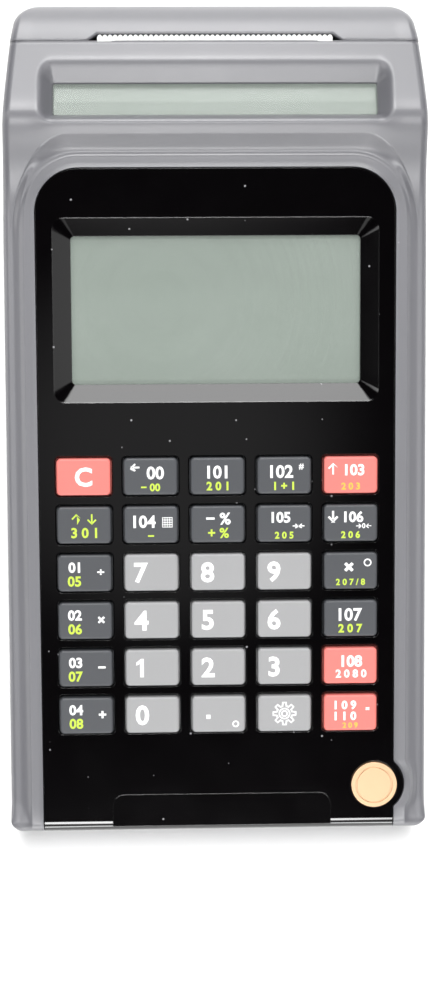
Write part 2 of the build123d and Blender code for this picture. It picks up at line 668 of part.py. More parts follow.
def lower_case():
    """Tray with posts, battery compartment, board stands and hinge knuckles."""
    rim_z = LID_BOTTOM_Z - LID_GAP - 0.3
    body = plan_block(0, BOTTOM_Z + BASE_STEP, rim_z)
    body += plan_block(BASE_STEP, BOTTOM_Z, BOTTOM_Z + BASE_STEP)
    body -= plan_block(WALL, INNER_FLOOR_Z, rim_z + 1)
    body -= block((-FAR, FAR), (-FAR, SEAM_Y), (PARTING_Z, FAR))
    body -= hinge_clearance(0.6)
    for knuckle in case_knuckles():
        body += knuckle
    for x, y in closing_posts():
        body += rod_z(POST_RADIUS, x, y, BOTTOM_Z + 0.5, PARTING_Z)
        body -= rod_z(SCREW_HEAD_RADIUS + SCREW_CLEARANCE, x, y, 0, POST_HEAD_Z + SCREW_HEAD_HEIGHT)
        body -= rod_z(SCREW_RADIUS + SCREW_CLEARANCE, x, y, 0, PARTING_Z + 1)
    seal_post = seal_axis_rod(POST_RADIUS, -FRONT_HEIGHT - 5, -SEAL_BOSS_DEPTH - SEAT_GAP)
    body += seal_post & plan_block(WALL / 2, INNER_FLOOR_Z - 0.5, FRONT_HEIGHT + 5)
    body -= seal_axis_rod(SCREW_RADIUS + SEAT_GAP, -SEAL_DEPTH - 2 - SCREW_LENGTH - 1, 0)
    pack_half_x = BATTERY_LENGTH / 2 + BATTERY_GAP
    pack_half_y = BATTERY_DIAMETER + BATTERY_GAP
    body += block(
        (-pack_half_x - COMPARTMENT_WALL, pack_half_x + COMPARTMENT_WALL),
        (BATTERY_Y - pack_half_y - COMPARTMENT_WALL, BATTERY_Y + pack_half_y + COMPARTMENT_WALL),
        (INNER_FLOOR_Z - 0.5, INNER_FLOOR_Z + COMPARTMENT_HEIGHT),
    )
    body += rod_z(POST_RADIUS + 1, 0, DOOR_SCREW_Y, BOTTOM_Z + 0.5, PARTING_Z - 1)
    body -= block(
        (-pack_half_x, pack_half_x),
        (BATTERY_Y - pack_half_y, BATTERY_Y + pack_half_y),
        (0, PARTING_Z + COMPARTMENT_HEIGHT),
    )
    body -= battery_door_shape(DOOR_GAP)
    body -= rod_z(SCREW_RADIUS + SEAT_GAP, 0, DOOR_SCREW_Y, 0, PARTING_Z - 2)
    for x, y in board_stands():
        body += rod_z(STAND_RADIUS, x, y, INNER_FLOOR_Z - 0.5, MAIN_BOARD_Z)
        body += rod_z(STAND_PIN_RADIUS, x, y, MAIN_BOARD_Z - 0.5, MAIN_BOARD_Z + BOARD_THICKNESS + 1)
    for x, y in foot_places():
        body -= rod_z(FOOT_RADIUS + SCREW_CLEARANCE, x, y, 0, BOTTOM_Z + FOOT_RECESS)
    body -= socket_cuts()
    body -= rod_x(PIN_RADIUS + RUNNING_GAP, HINGE_Y, HINGE_Z, -HALF_WIDTH, HALF_WIDTH)
    return body


def upper_case():
    """Shell that carries the panel, the hump and the customer's display."""
    shell = envelope() - case_cavity()
    shell += on_hump(
        Pos(0, RECESS_START + RECESS_LENGTH / 2) * Rectangle(
            2 * (HALF_WIDTH - RECESS_SIDE + RECESS_FLANGE), RECESS_LENGTH + RECESS_FLANGE),
        -RECESS_DEPTH - RECESS_FLOOR, -0.5) & envelope()
    for x, y in closing_posts():
        post = rod_z(POST_RADIUS, x, y, PARTING_Z, panel_height(y) - DECK / 2)
        shell += post & envelope()
        shell -= rod_z(SCREW_RADIUS + SEAT_GAP, x, y, PARTING_Z - 1, POST_HEAD_Z + SCREW_LENGTH + 4)
    shell -= on_panel(panel_outline(PANEL_GAP), -PANEL_THICKNESS - SEAT_GAP, 3)
    shell -= block(
        (-PANEL_HALF_WIDTH - PANEL_GAP, PANEL_HALF_WIDTH + PANEL_GAP),
        (FRONT_Y - 1, FRONT_Y + PANEL_THICKNESS + SEAT_GAP),
        (PARTING_Z - 1, FRONT_HEIGHT),
    )
    opening_half = PANEL_HALF_WIDTH - LEDGE
    opening_end = PANEL_LENGTH - LEDGE
    shell -= on_panel(
        Pos(0, opening_end / 2 - 5) * Rectangle(2 * opening_half, opening_end + 10), -DECK - 2, 3)
    shell -= block(
        (-opening_half, opening_half), (FRONT_Y - 1, FRONT_Y + DECK + 1), (PARTING_Z - 1, FRONT_HEIGHT))
    shell -= seal_axis_rod(SEAL_RADIUS + WELL_GAP + WELL_RIM + PANEL_GAP, -DECK - 6, 3)
    shell -= recess_cut()
    shell -= on_hump(glass_face(GLASS_GAP), -RECESS_DEPTH - RECESS_FLOOR - 1, 0)
    shell -= block(
        (-SLOT_HALF_WIDTH, SLOT_HALF_WIDTH),
        (SEAM_Y - TEAR_BAR_IN_FRONT, SEAM_Y + 1),
        (SEAM_Z - TEAR_BAR_THICKNESS - 2 * TEAR_BAR_WEB, CREST_Z),
    )
    return shell - socket_cuts()


RECESS_CORNER = 2.2
GLASS_CORNER = 0.7
RECESS_HALF = HALF_WIDTH - RECESS_SIDE
GLASS_HALF = RECESS_HALF - RECESS_SIDE_SLOPE
GLASS_START = RECESS_START + RECESS_FRONT_SLOPE
GLASS_LENGTH = RECESS_LENGTH - RECESS_FRONT_SLOPE - RECESS_REAR_SLOPE


def glass_face(grow):
    """Outline of the customer's window on the hump's plane."""
    return Pos(0, GLASS_START + GLASS_LENGTH / 2) * RectangleRounded(
        2 * (GLASS_HALF + grow), GLASS_LENGTH + 2 * grow, GLASS_CORNER + max(grow, 0))


def recess_cut():
    """Sloped recess above the customer's window."""
    mouth = Pos(0, RECESS_START + RECESS_LENGTH / 2) * RectangleRounded(
        2 * RECESS_HALF, RECESS_LENGTH, RECESS_CORNER)
    tall = HUMP_PLANE.offset(0.01) * mouth
    low = HUMP_PLANE.offset(-RECESS_DEPTH) * glass_face(0.5)
    return loft([tall, low]) + on_hump(mouth, 0, 4)


def front_panel():
    """Glossy panel with the keys' holes, the display's bezel and the seal's well."""
    plate = envelope() & on_panel(panel_outline(0), -FRONT_HEIGHT - 20, 3)
    core = rounded_face([
        (FRONT_Y + PANEL_THICKNESS, PARTING_Z - 1, 0),
        (FRONT_Y + PANEL_THICKNESS,
         panel_height(FRONT_Y + PANEL_THICKNESS) - PANEL_THICKNESS / math.cos(SLOPE), 0),
        (REAR_Y, panel_height(REAR_Y) - PANEL_THICKNESS / math.cos(SLOPE), 0),
        (REAR_Y, PARTING_Z - 1, 0),
    ])
    plate -= along_x(core, -HALF_WIDTH, HALF_WIDTH)
    plate -= block((-FAR, FAR), (-FAR, FAR), (0, PARTING_Z + PANEL_GAP))
    plate += on_panel(
        Pos(0, BEZEL_MIDDLE) * Rectangle(
            2 * (BEZEL_HALF_WIDTH + BEZEL_WALL / 2), BEZEL_LENGTH + BEZEL_WALL),
        -BEZEL_DEPTH - PANE_THICKNESS, -PANEL_THICKNESS / 2)
    mouth = Pos(0, BEZEL_MIDDLE) * RectangleRounded(2 * BEZEL_HALF_WIDTH, BEZEL_LENGTH, BEZEL_CORNER)
    window = Pos(0, BEZEL_MIDDLE) * RectangleRounded(2 * WINDOW_HALF_WIDTH, WINDOW_LENGTH, WINDOW_CORNER)
    plate -= loft([PANEL_PLANE.offset(0.01) * mouth, PANEL_PLANE.offset(-BEZEL_DEPTH + 0.4) * window])
    plate -= on_panel(window, -BEZEL_DEPTH - 2, 0)
    plate -= on_panel(display_pane_face(GLASS_GAP), -BEZEL_DEPTH - PANE_THICKNESS - 1, -BEZEL_DEPTH)
    for x, u in key_positions():
        hole = Pos(x, u) * key_rectangle(KEY_SIDE_GAP)
        plate -= on_panel(hole, -PANEL_THICKNESS - 1, 1)
        plate -= loft([
            PANEL_PLANE.offset(0.01) * Pos(x, u) * key_rectangle(KEY_SIDE_GAP + KEY_HOLE_CHAMFER),
            PANEL_PLANE.offset(-KEY_HOLE_CHAMFER) * hole])
    scoop_length = SCOOP_REACH + 4 * FRONT_ROUND
    plate -= on_panel(
        Pos((SCOOP_LEFT + SCOOP_RIGHT) / 2, SCOOP_REACH - scoop_length / 2) * RectangleRounded(
            SCOOP_RIGHT - SCOOP_LEFT, scoop_length, SCOOP_CORNER),
        -SCOOP_DEPTH, 1)
    for x, u in keypad_posts():
        plate += on_panel(Pos(x, u) * Circle(KEYPAD_POST_RADIUS), -BOARD_DEPTH, -PANEL_THICKNESS / 2)
    rim = SEAL_RADIUS + WELL_GAP + WELL_RIM
    plate += seal_axis_rod(rim, -SEAL_BOSS_DEPTH, 0)
    plate -= seal_axis_rod(SEAL_RADIUS + WELL_GAP, -SEAL_DEPTH, 2)
    plate -= seal_axis_rod(SCREW_HEAD_RADIUS + SCREW_CLEARANCE, -SEAL_DEPTH - SCREW_HEAD_HEIGHT, 2)
    return plate - seal_axis_rod(SCREW_RADIUS + SCREW_CLEARANCE, -SEAL_BOSS_DEPTH - 1, 2)


def keypad_posts():
    """Places of the four posts that the keypad board is held against."""
    half_x = 1.8 * KEY_PITCH_X
    low = KEY_FRONT - FLANGE_OVERLAP - 5
    high = KEYS_END + FLANGE_OVERLAP + 4.6
    return [(sx * half_x, u) for sx in (-1, 1) for u in (low, high)]


# ---- displays ----
def display_pane_face(grow):
    """Outline of the operator's window pane."""
    return Pos(0, BEZEL_MIDDLE) * Rectangle(
        2 * (WINDOW_HALF_WIDTH + PANE_LIP + grow), WINDOW_LENGTH + 2 * (PANE_LIP + grow))


def display_window():
    """Clear pane over the operator's display."""
    return on_panel(display_pane_face(0), -BEZEL_DEPTH - PANE_THICKNESS, -BEZEL_DEPTH)


def display_module():
    """Liquid crystal glass on its circuit board."""
    top = -BEZEL_DEPTH - PANE_THICKNESS
    glass = on_panel(
        Pos(0, BEZEL_MIDDLE) * Rectangle(2 * WINDOW_HALF_WIDTH + 4, WINDOW_LENGTH + 4),
        top - MODULE_THICKNESS / 2, top)
    board = on_panel(
        Pos(0, BEZEL_MIDDLE) * Rectangle(2 * BEZEL_HALF_WIDTH - 2, BEZEL_LENGTH - 1),
        top - MODULE_THICKNESS, top - MODULE_THICKNESS / 2)
    return glass + board


def customer_window():
    """Clear pane in the hump's recess."""
    return on_hump(glass_face(0), -RECESS_DEPTH - RECESS_FLOOR, -RECESS_DEPTH)


def customer_display():
    """Long narrow display module under the customer's window."""
    top = -RECESS_DEPTH - RECESS_FLOOR
    return on_hump(
        glass_face(CUSTOMER_MODULE_MARGIN), top - CUSTOMER_MODULE_THICKNESS, top)


# ---- keys ----
KEY_NAMES = [
    "key_clear", "key_back", "key_inquiry", "key_table", "key_cashier",
    "key_shift", "key_lookup", "key_percent", "key_refund", "key_price",
    "key_department_1", "key_7", "key_8", "key_9", "key_multiply",
    "key_department_2", "key_4", "key_5", "key_6", "key_card",
    "key_department_3", "key_1", "key_2", "key_3", "key_subtotal",
    "key_department_4", "key_0", "key_point", "key_function", "key_total",
]


def key(x, u):
    """One key: its cap, the flange that keeps it in and its stem."""
    cap = on_panel(Pos(x, u) * key_rectangle(0), -PANEL_THICKNESS - FLANGE_GAP, KEY_PROUD)
    top = cap.faces().sort_by(Axis(PANEL_PLANE.origin, PANEL_PLANE.z_dir))[-1]
    cap = fillet(top.edges(), KEY_EDGE_ROUND)
    flange_top = -PANEL_THICKNESS - FLANGE_GAP
    flange = on_panel(
        Pos(x, u) * key_rectangle(FLANGE_OVERLAP), flange_top - FLANGE_THICKNESS, flange_top)
    stem_end = -BOARD_DEPTH + KEY_TRAVEL + 0.2
    stem = on_panel(Pos(x, u) * Circle(STEM_RADIUS), stem_end, flange_top)
    return cap + flange + stem


def keypad_mat():
    """Silicone mat with a collar around each key's stem."""
    low = KEY_FRONT - MAT_MARGIN
    high = KEYS_END + MAT_MARGIN
    half = KEY_COLUMNS / 2 * KEY_PITCH_X - 1.6
    floor = -BOARD_DEPTH
    mat = on_panel(
        Pos(0, (low + high) / 2) * Rectangle(2 * half, high - low), floor, floor + MAT_THICKNESS)
    collars = []
    bores = []
    for x, u in key_positions():
        outer = STEM_RADIUS + STEM_GAP + COLLAR_WALL
        top = floor + MAT_THICKNESS + COLLAR_HEIGHT
        collars.append(on_panel(Pos(x, u) * Circle(outer), floor, top))
        bores.append(on_panel(Pos(x, u) * Circle(STEM_RADIUS + STEM_GAP), floor - 1, top + 1))
    return mat + collars - bores


def keypad_board():
    """Printed board under the mat."""
    low = KEY_FRONT - FLANGE_OVERLAP - BOARD_MARGIN
    high = KEYS_END + BOARD_MARGIN
    half = PANEL_HALF_WIDTH - LEDGE - 0.9
    return on_panel(
        Pos(0, (low + high) / 2) * Rectangle(2 * half, high - low),
        -BOARD_DEPTH - BOARD_THICKNESS, -BOARD_DEPTH)


# ---- lid and hinge ----
def lid_section(inset):
    """Side outline of the lid, moved in by a wall."""
    front = SEAM_Y + LID_GAP if inset == 0 else SEAM_Y - 5
    low = LID_BOTTOM_Z if inset == 0 else LID_BOTTOM_Z - 10
    drop = inset / math.cos(FALL)
    rear = REAR_Y - inset
    front_z = CREST_Z - (front - CREST_Y) * math.tan(FALL) - drop
    rear_z = CREST_Z - (rear - CREST_Y) * math.tan(FALL) - drop
    return rounded_face([
        (front, low, 0),
        (front, front_z, 0),
        (rear, rear_z, LID_ARC * 0.97 - inset),
        (rear, low, 0),
    ])


def lid_arms():
    """Two ribs inside the lid that carry the platen's bushes."""
    ribs = []
    for start in (ARM_X, -ARM_X - ARM_THICKNESS):
        rib = rounded_face([
            (PLATEN_Y - 3.2, PLATEN_Z - 3.5, 0),
            (REAR_Y - 1, PLATEN_Z - 3.5, 0),
            (REAR_Y - 1, SEAM_Z, 0),
            (PLATEN_Y - 1.5, SEAM_Z, 0),
            (PLATEN_Y - 1.5, PLATEN_Z + 3.5, 0),
            (PLATEN_Y - 3.2, PLATEN_Z + 3.5, 0),
        ])
        ribs.append(along_x(rib & lid_section(0), start, start + ARM_THICKNESS))
    return ribs


def paper_lid():
    """Rear cover that swings back on its hinge."""
    outer = along_x(lid_section(0), -HALF_WIDTH, HALF_WIDTH)
    outer += rod_x(HINGE_RADIUS, HINGE_Y, HINGE_Z, -HALF_WIDTH, HALF_WIDTH)
    outer = outer & plan_block(0, 0, CREST_Z)
    inner = along_x(lid_section(WALL), -HALF_WIDTH, HALF_WIDTH) & plan_block(WALL, 0, CREST_Z)
    inner -= rod_x(HINGE_RADIUS, HINGE_Y, HINGE_Z, -HALF_WIDTH, HALF_WIDTH)
    lid = outer - inner
    for arm in lid_arms():
        lid += arm
    for start in (KNUCKLE_START - 0.3, -KNUCKLE_START - KNUCKLE_WIDTH - 0.3):
        lid -= block(
            (start, start + KNUCKLE_WIDTH + 0.6),
            (HINGE_Y - HINGE_RADIUS - 1, REAR_Y + 1),
            (0, HINGE_Z + HINGE_RADIUS + 0.6),
        )
    lid -= block(
        (-SLOT_HALF_WIDTH, SLOT_HALF_WIDTH),
        (SEAM_Y, SEAM_Y + TEAR_BAR_REACH - TEAR_BAR_IN_FRONT + SLOT_WIDTH),
        (SEAM_Z - 2 * WALL, CREST_Z),
    )
    lid -= rod_x(BUSH_RADIUS + RUNNING_GAP, PLATEN_Y, PLATEN_Z, -FRAME_X, FRAME_X)
    return lid - rod_x(PIN_RADIUS + RUNNING_GAP, HINGE_Y, HINGE_Z, -FAR, FAR)


def lid_hinge_pin():
    """Steel pin through the hinge's knuckles."""
    reach = KNUCKLE_START + KNUCKLE_WIDTH + PIN_END
    return rod_x(PIN_RADIUS, HINGE_Y, HINGE_Z, -reach, reach)


def tear_bar():
    """Toothed strip along the front of the paper slot."""
    front = SEAM_Y - TEAR_BAR_IN_FRONT
    back = front + TEAR_BAR_REACH
    top = SEAM_Z - 0.1
    bar = block(
        (-TEAR_BAR_WIDTH / 2, TEAR_BAR_WIDTH / 2), (front, back), (top - TEAR_BAR_THICKNESS, top))
    bar += block(
        (-TEAR_BAR_WIDTH / 2, TEAR_BAR_WIDTH / 2), (front, front + 1),
        (top - TEAR_BAR_THICKNESS - TEAR_BAR_WEB, top))
    count = int(TEAR_BAR_WIDTH / TOOTH_PITCH)
    first = -(count - 1) / 2 * TOOTH_PITCH
    notches = []
    for index in range(count + 1):
        x = first + (index - 0.5) * TOOTH_PITCH
        notch = Polyline(
            (x - TOOTH_PITCH / 2, back + 0.01),
            (x + TOOTH_PITCH / 2, back + 0.01),
            (x, back - TOOTH_DEPTH),
            close=True,
        )
        low = Plane.XY.offset(top - TEAR_BAR_THICKNESS - 0.5)
        notches.append(extrude(low * make_face(notch), amount=TEAR_BAR_THICKNESS + 1))
    return bar - notches


# ---- printing mechanism ----
def gear_face(teeth, phase):
    """Involute gear outline about the origin, with one tooth at the phase angle."""
    pitch = GEAR_MODULE * teeth / 2
    base = pitch * math.cos(PRESSURE_ANGLE)
    tip = pitch + ADDENDUM * GEAR_MODULE
    root = pitch - DEDENDUM * GEAR_MODULE
    flank_start = max(base, root)
    radii = [root] + [flank_start + (tip - flank_start) * step / 4 for step in range(5)]

    def involute(radius):
        angle = math.acos(min(1.0, base / radius))
        return math.tan(angle) - angle

    half_at_pitch = math.pi / (2 * teeth) - GEAR_BACKLASH / (2 * pitch)
    points = []
    for tooth in range(teeth):
        middle = phase + 2 * math.pi * tooth / teeth
        rise = []
        for radius in radii:
            half = half_at_pitch + involute(pitch) - involute(max(radius, base))
            rise.append((radius, half))
        for radius, half in rise:
            points.append((radius * math.cos(middle - half), radius * math.sin(middle - half)))
        for radius, half in reversed(rise):
            points.append((radius * math.cos(middle + half), radius * math.sin(middle + half)))
    return make_face(Polyline(*points, close=True))


IDLER_PHASE = OPENING_ANGLE + math.pi / IDLER_TEETH


def pinion_phase():
    """Angle of a pinion tooth when the idler stands at its own phase."""
    step = 2 * math.pi / IDLER_TEETH
    offset = (IDLER_PHASE - PINION_ANGLE) % step
    gap = PINION_ANGLE + math.pi - offset * IDLER_TEETH / PINION_TEETH
    return gap + math.pi / PINION_TEETH


def platen_roller():
    """Rubber roller that presses the paper on the print head."""
    half = PLATEN_LENGTH / 2
    roller = rod_x(PLATEN_RADIUS, PLATEN_Y, PLATEN_Z, -half, half)
    return roller - rod_x(SHAFT_RADIUS, PLATEN_Y, PLATEN_Z, -half, half)


def platen_shaft():
    """Steel shaft of the platen."""
    return rod_x(SHAFT_RADIUS, PLATEN_Y, PLATEN_Z, -FRAME_X - FRAME_THICKNESS - 0.5, GEAR_X + GEAR_WIDTH)


def platen_gear():
    """Gear on the right end of the platen's shaft."""
    gear = along_x(
        Pos(PLATEN_Y, PLATEN_Z) * gear_face(PLATEN_TEETH, OPENING_ANGLE + math.pi),
        GEAR_X, GEAR_X + GEAR_WIDTH)
    return gear - rod_x(SHAFT_RADIUS, PLATEN_Y, PLATEN_Z, GEAR_X - 1, GEAR_X + GEAR_WIDTH + 1)


def platen_bushes():
    """Two bushes that the platen turns in."""
    bushes = []
    inner = ARM_X - 0.2
    outer = FRAME_X + FRAME_THICKNESS + 0.2
    for start, end in ((inner, outer), (-outer, -inner)):
        ring = rod_x(BUSH_RADIUS, PLATEN_Y, PLATEN_Z, start, end)
        bushes.append(ring - rod_x(SHAFT_RADIUS + RUNNING_GAP, PLATEN_Y, PLATEN_Z, start - 1, end + 1))
    return bushes


def idler_gear():
    """Gear between the motor's pinion and the platen's gear."""
    gear = along_x(
        Pos(IDLER_Y, IDLER_Z) * gear_face(IDLER_TEETH, IDLER_PHASE), GEAR_X, GEAR_X + GEAR_WIDTH)
    return gear - rod_x(
        MOTOR_SHAFT_RADIUS + RUNNING_GAP, IDLER_Y, IDLER_Z, GEAR_X - 1, GEAR_X + GEAR_WIDTH + 1)


def motor_pinion():
    """Pinion on the motor's shaft."""
    pinion = along_x(
        Pos(PINION_Y, PINION_Z) * gear_face(PINION_TEETH, pinion_phase()), GEAR_X, GEAR_X + GEAR_WIDTH)
    shaft = rod_x(MOTOR_SHAFT_RADIUS, PINION_Y, PINION_Z, GEAR_X, MOTOR_X + MOTOR_LENGTH - 2)
    return pinion + shaft


def feed_motor():
    """Small stepping motor with two mounting ears."""
    can = rod_x(MOTOR_RADIUS, PINION_Y, PINION_Z, MOTOR_X, MOTOR_X + MOTOR_LENGTH)
    can -= rod_x(
        MOTOR_SHAFT_RADIUS + RUNNING_GAP, PINION_Y, PINION_Z, MOTOR_X - 1, MOTOR_X + MOTOR_LENGTH - 1.5)
    ears = block(
        (MOTOR_X, MOTOR_X + EAR_THICKNESS),
        (PINION_Y - MOTOR_RADIUS - EAR_REACH, PINION_Y + MOTOR_RADIUS + EAR_REACH),
        (PINION_Z - EAR_REACH, PINION_Z + EAR_REACH),
    )
    ears -= rod_x(MOTOR_RADIUS - 1, PINION_Y, PINION_Z, MOTOR_X - 1, MOTOR_X + 2)
    return can + ears


def side_plate_face():
    """Side outline of the mechanism's frame, with the notch for the platen's bush."""
    plate = rounded_face([
        (PINION_Y - MOTOR_RADIUS, FRAME_LOW, 0),
        (IDLER_Y, FRAME_LOW, 0),
        (PLATEN_Y + 2, PLATEN_Z - 5.5, 0),
        (PLATEN_Y + 2, PLATEN_Z + 3, 0),
        (HEAD_Y - HEAD_TO_FRAME, PLATEN_Z + 3, 0),
        (HEAD_Y - 6, PLATEN_Z + 0.5, 0),
        (PINION_Y - MOTOR_RADIUS, PLATEN_Z + 0.5, 0),
    ])
    notch = Pos(PLATEN_Y, PLATEN_Z) * Rot(0, 0, math.degrees(OPENING_ANGLE)) * (
        Circle(BUSH_RADIUS + NOTCH_GAP) + Pos(5, 0) * Rectangle(10, 2 * (BUSH_RADIUS + NOTCH_GAP)))
    return plate - notch


def printer_frame():
    """Folded steel frame that holds the head, the motor and the gears."""
    inner = FRAME_X
    outer = FRAME_X + FRAME_THICKNESS
    side = side_plate_face()
    frame = along_x(side, inner, outer) + along_x(side, -outer, -inner)
    base_z = BAY_CENTRE_Z + BAY_RADIUS + FRAME_OVER_ROLL
    frame += block(
        (-outer, outer), (PINION_Y - MOTOR_RADIUS, HEAD_Y - 5), (base_z, base_z + FRAME_THICKNESS))
    frame += block(
        (-outer, outer), (HEAD_Y - HEAD_TO_FRAME - FRAME_THICKNESS, HEAD_Y - HEAD_TO_FRAME), (base_z, PLATEN_Z + 3))
    bracket_reach = MOTOR_RADIUS + EAR_REACH + 0.5
    low = FRAME_LOW
    frame += block(
        (BRACKET_X, MOTOR_X), (PINION_Y - bracket_reach, IDLER_Y + 2), (low, IDLER_Z + 2))
    frame += block(
        (inner, MOTOR_X), (PINION_Y - bracket_reach, PINION_Y - bracket_reach + FRAME_THICKNESS),
        (low, PINION_Z + 6))
    frame += block(
        (inner, outer), (PINION_Y - bracket_reach, PINION_Y - MOTOR_RADIUS + 1), (low, PINION_Z + 6))
    frame -= rod_x(MOTOR_SHAFT_RADIUS + 0.6, PINION_Y, PINION_Z, BRACKET_X - 1, MOTOR_X + 1)
    return frame + rod_x(MOTOR_SHAFT_RADIUS, IDLER_Y, IDLER_Z, inner + 0.1, MOTOR_X - 0.1)


def thermal_head():
    """Print head plate that the platen closes against."""
    low = PLATEN_Z - 0.45 * HEAD_HEIGHT
    half = PLATEN_LENGTH / 2 + 0.4
    head = block((-half, half), (HEAD_Y, HEAD_Y + HEAD_THICKNESS - 0.6), (low, low + HEAD_HEIGHT))
    strip = block(
        (-half + 2, half - 2), (HEAD_Y, HEAD_Y + HEAD_THICKNESS), (PLATEN_Z - 1.5, PLATEN_Z + 1.5))
    return head + strip


def head_springs():
    """Two bent leaf springs that push the head forward."""
    springs = []
    back = HEAD_Y - HEAD_TO_FRAME
    for middle in (-PLATEN_LENGTH / 4, PLATEN_LENGTH / 4):
        strip = rounded_face([
            (back, PLATEN_Z - 3, 0),
            (back + 0.4, PLATEN_Z - 3, 0),
            (HEAD_Y, PLATEN_Z - 0.3, 0),
            (HEAD_Y, PLATEN_Z + 0.3, 0),
            (back + 0.4, PLATEN_Z + 3 - 0.4, 0),
            (back, PLATEN_Z + 3 - 0.4, 0),
            (HEAD_Y - 0.9, PLATEN_Z, 0),
        ])
        springs.append(along_x(strip, middle - 3, middle + 3))
    return springs


# ---- boards, power and fixings ----
def main_board():
    """Printed board with its larger components."""
    half = HALF_WIDTH - MAIN_BOARD_SIDE
    left = SOCKET_FACE_X + WALL + 4
    board = block(
        (left, half), (MAIN_BOARD_Y, MAIN_BOARD_Y + MAIN_BOARD_LENGTH),
        (MAIN_BOARD_Z, MAIN_BOARD_Z + BOARD_THICKNESS))
    for x, y in board_stands():
        board -= rod_z(STAND_HOLE_RADIUS, x, y, 0, PARTING_Z)
    top = MAIN_BOARD_Z + BOARD_THICKNESS
    board += block((-8, 10), (MAIN_BOARD_Y + 30, MAIN_BOARD_Y + 48), (top - 0.2, top + 1.6))
    board += block((16, 28), (MAIN_BOARD_Y + 34, MAIN_BOARD_Y + 44), (top - 0.2, top + 1.4))
    board += block((-10, 14), (MAIN_BOARD_Y + 8, MAIN_BOARD_Y + 14), (top - 0.2, top + 3.4))
    for x in (22, 29):
        board += rod_z(2.5, x, MAIN_BOARD_Y + 12, top - 0.2, top + 4.6)
    return board


def battery_pack():
    """Two round cells side by side in one wrapper."""
    radius = BATTERY_DIAMETER / 2
    z = BOTTOM_Z + DOOR_THICKNESS + DOOR_GAP + radius
    half = BATTERY_LENGTH / 2
    pack = rod_x(radius, BATTERY_Y - radius, z, -half, half)
    pack += rod_x(radius, BATTERY_Y + radius, z, -half, half)
    return pack + block((-half, half), (BATTERY_Y - radius, BATTERY_Y + radius), (z - radius, z + radius))


def fiscal_seal():
    """Brass disc with a ring groove, over the closing screw."""
    disc = seal_axis_rod(SEAL_RADIUS, -SEAL_DEPTH, SEAL_THICKNESS - SEAL_DEPTH)
    top = SEAL_THICKNESS - SEAL_DEPTH
    groove = seal_axis_rod(SEAL_GROOVE_RADIUS, top - SEAL_GROOVE_DEPTH, top + 1)
    groove -= seal_axis_rod(SEAL_GROOVE_RADIUS - SEAL_GROOVE, top - 0.5, top + 2)
    return disc - groove


def case_screws():
    """The closing screws and the battery door's screw."""
    screws = [screw_shape(x, y, POST_HEAD_Z, SCREW_LENGTH) for x, y in closing_posts()]
    door_head_z = BOTTOM_Z + DOOR_TAB - 1 - SCREW_HEAD_HEIGHT
    screws.append(screw_shape(0, DOOR_SCREW_Y, door_head_z, SCREW_LENGTH / 2))
    head_top = -SEAL_DEPTH - 0.1
    head_low = -SEAL_DEPTH - SCREW_HEAD_HEIGHT
    seal_screw = seal_axis_rod(SCREW_HEAD_RADIUS, head_low, head_top)
    seal_screw += seal_axis_rod(SCREW_RADIUS, head_low - SCREW_LENGTH, head_low)
    screws.append(seal_screw)
    return screws


def rubber_feet():
    """Four feet set into the floor."""
    feet = []
    for x, y in foot_places():
        foot = rod_z(FOOT_RADIUS, x, y, 0, BOTTOM_Z + FOOT_RECESS)
        feet.append(chamfer(foot.faces().sort_by(Axis.Z)[0].edges(), FOOT_CHAMFER))
    return feet


# ---- output ----
NODES = {
    "lower_case": lower_case,
    "upper_case": upper_case,
    "front_panel": front_panel,
    "display_window": display_window,
    "display_module": display_module,
    "customer_window": customer_window,
    "customer_display": customer_display,
    "keypad_mat": keypad_mat,
    "keypad_board": keypad_board,
    "paper_lid": paper_lid,
    "lid_hinge_pin": lid_hinge_pin,
    "tear_bar": tear_bar,
    "platen_roller": platen_roller,
    "platen_shaft": platen_shaft,
    "platen_gear": platen_gear,
    "platen_bushes": platen_bushes,
    "idler_gear": idler_gear,
    "motor_pinion": motor_pinion,
    "feed_motor": feed_motor,
    "printer_frame": printer_frame,
    "thermal_head": thermal_head,
    "head_springs": head_springs,
    "main_board": main_board,
    "battery_pack": battery_pack,
    "battery_door": battery_door,
    "fiscal_seal": fiscal_seal,
    "case_screws": case_screws,
    "rubber_feet": rubber_feet,
    "paper_bay": paper_bay,
    "side_sockets": side_sockets,
}


def write(name, shape):
    """Write one node, a shape or a group of separate shapes."""
    if isinstance(shape, list):
        shape = Compound(children=shape)
    export_step(shape, f"parts/{name}.step")


for name, make in NODES.items():
    write(name, make())
for name, (x, u) in zip(KEY_NAMES, key_positions()):
    write(name, key(x, u))
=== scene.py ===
"""Looks of a hand-held cash register: a grey moulded case with a raised rear hump,
a glossy black panel with thirty keys and a display, and a lid over the paper roll.
Lengths are in millimetres until a mesh is written, which is in metres."""
import math

import bmesh
import bpy
import numpy as np
from mathutils import Matrix, Vector


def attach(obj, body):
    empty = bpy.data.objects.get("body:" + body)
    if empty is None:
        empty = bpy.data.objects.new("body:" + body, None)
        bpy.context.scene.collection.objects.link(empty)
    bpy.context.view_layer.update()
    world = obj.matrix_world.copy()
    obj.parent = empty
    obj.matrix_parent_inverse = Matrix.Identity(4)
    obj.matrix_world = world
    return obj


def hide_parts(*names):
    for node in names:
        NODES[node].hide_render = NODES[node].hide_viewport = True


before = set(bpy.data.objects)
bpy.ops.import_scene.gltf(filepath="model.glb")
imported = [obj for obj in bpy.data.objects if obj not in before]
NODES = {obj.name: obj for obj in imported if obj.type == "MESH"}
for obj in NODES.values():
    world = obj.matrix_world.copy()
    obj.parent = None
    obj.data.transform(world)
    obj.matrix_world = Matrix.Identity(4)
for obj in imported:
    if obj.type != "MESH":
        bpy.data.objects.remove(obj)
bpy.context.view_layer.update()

MM = 0.001
FONT_CAP = 0.69                 # height of a capital in Blender's own font at size 1

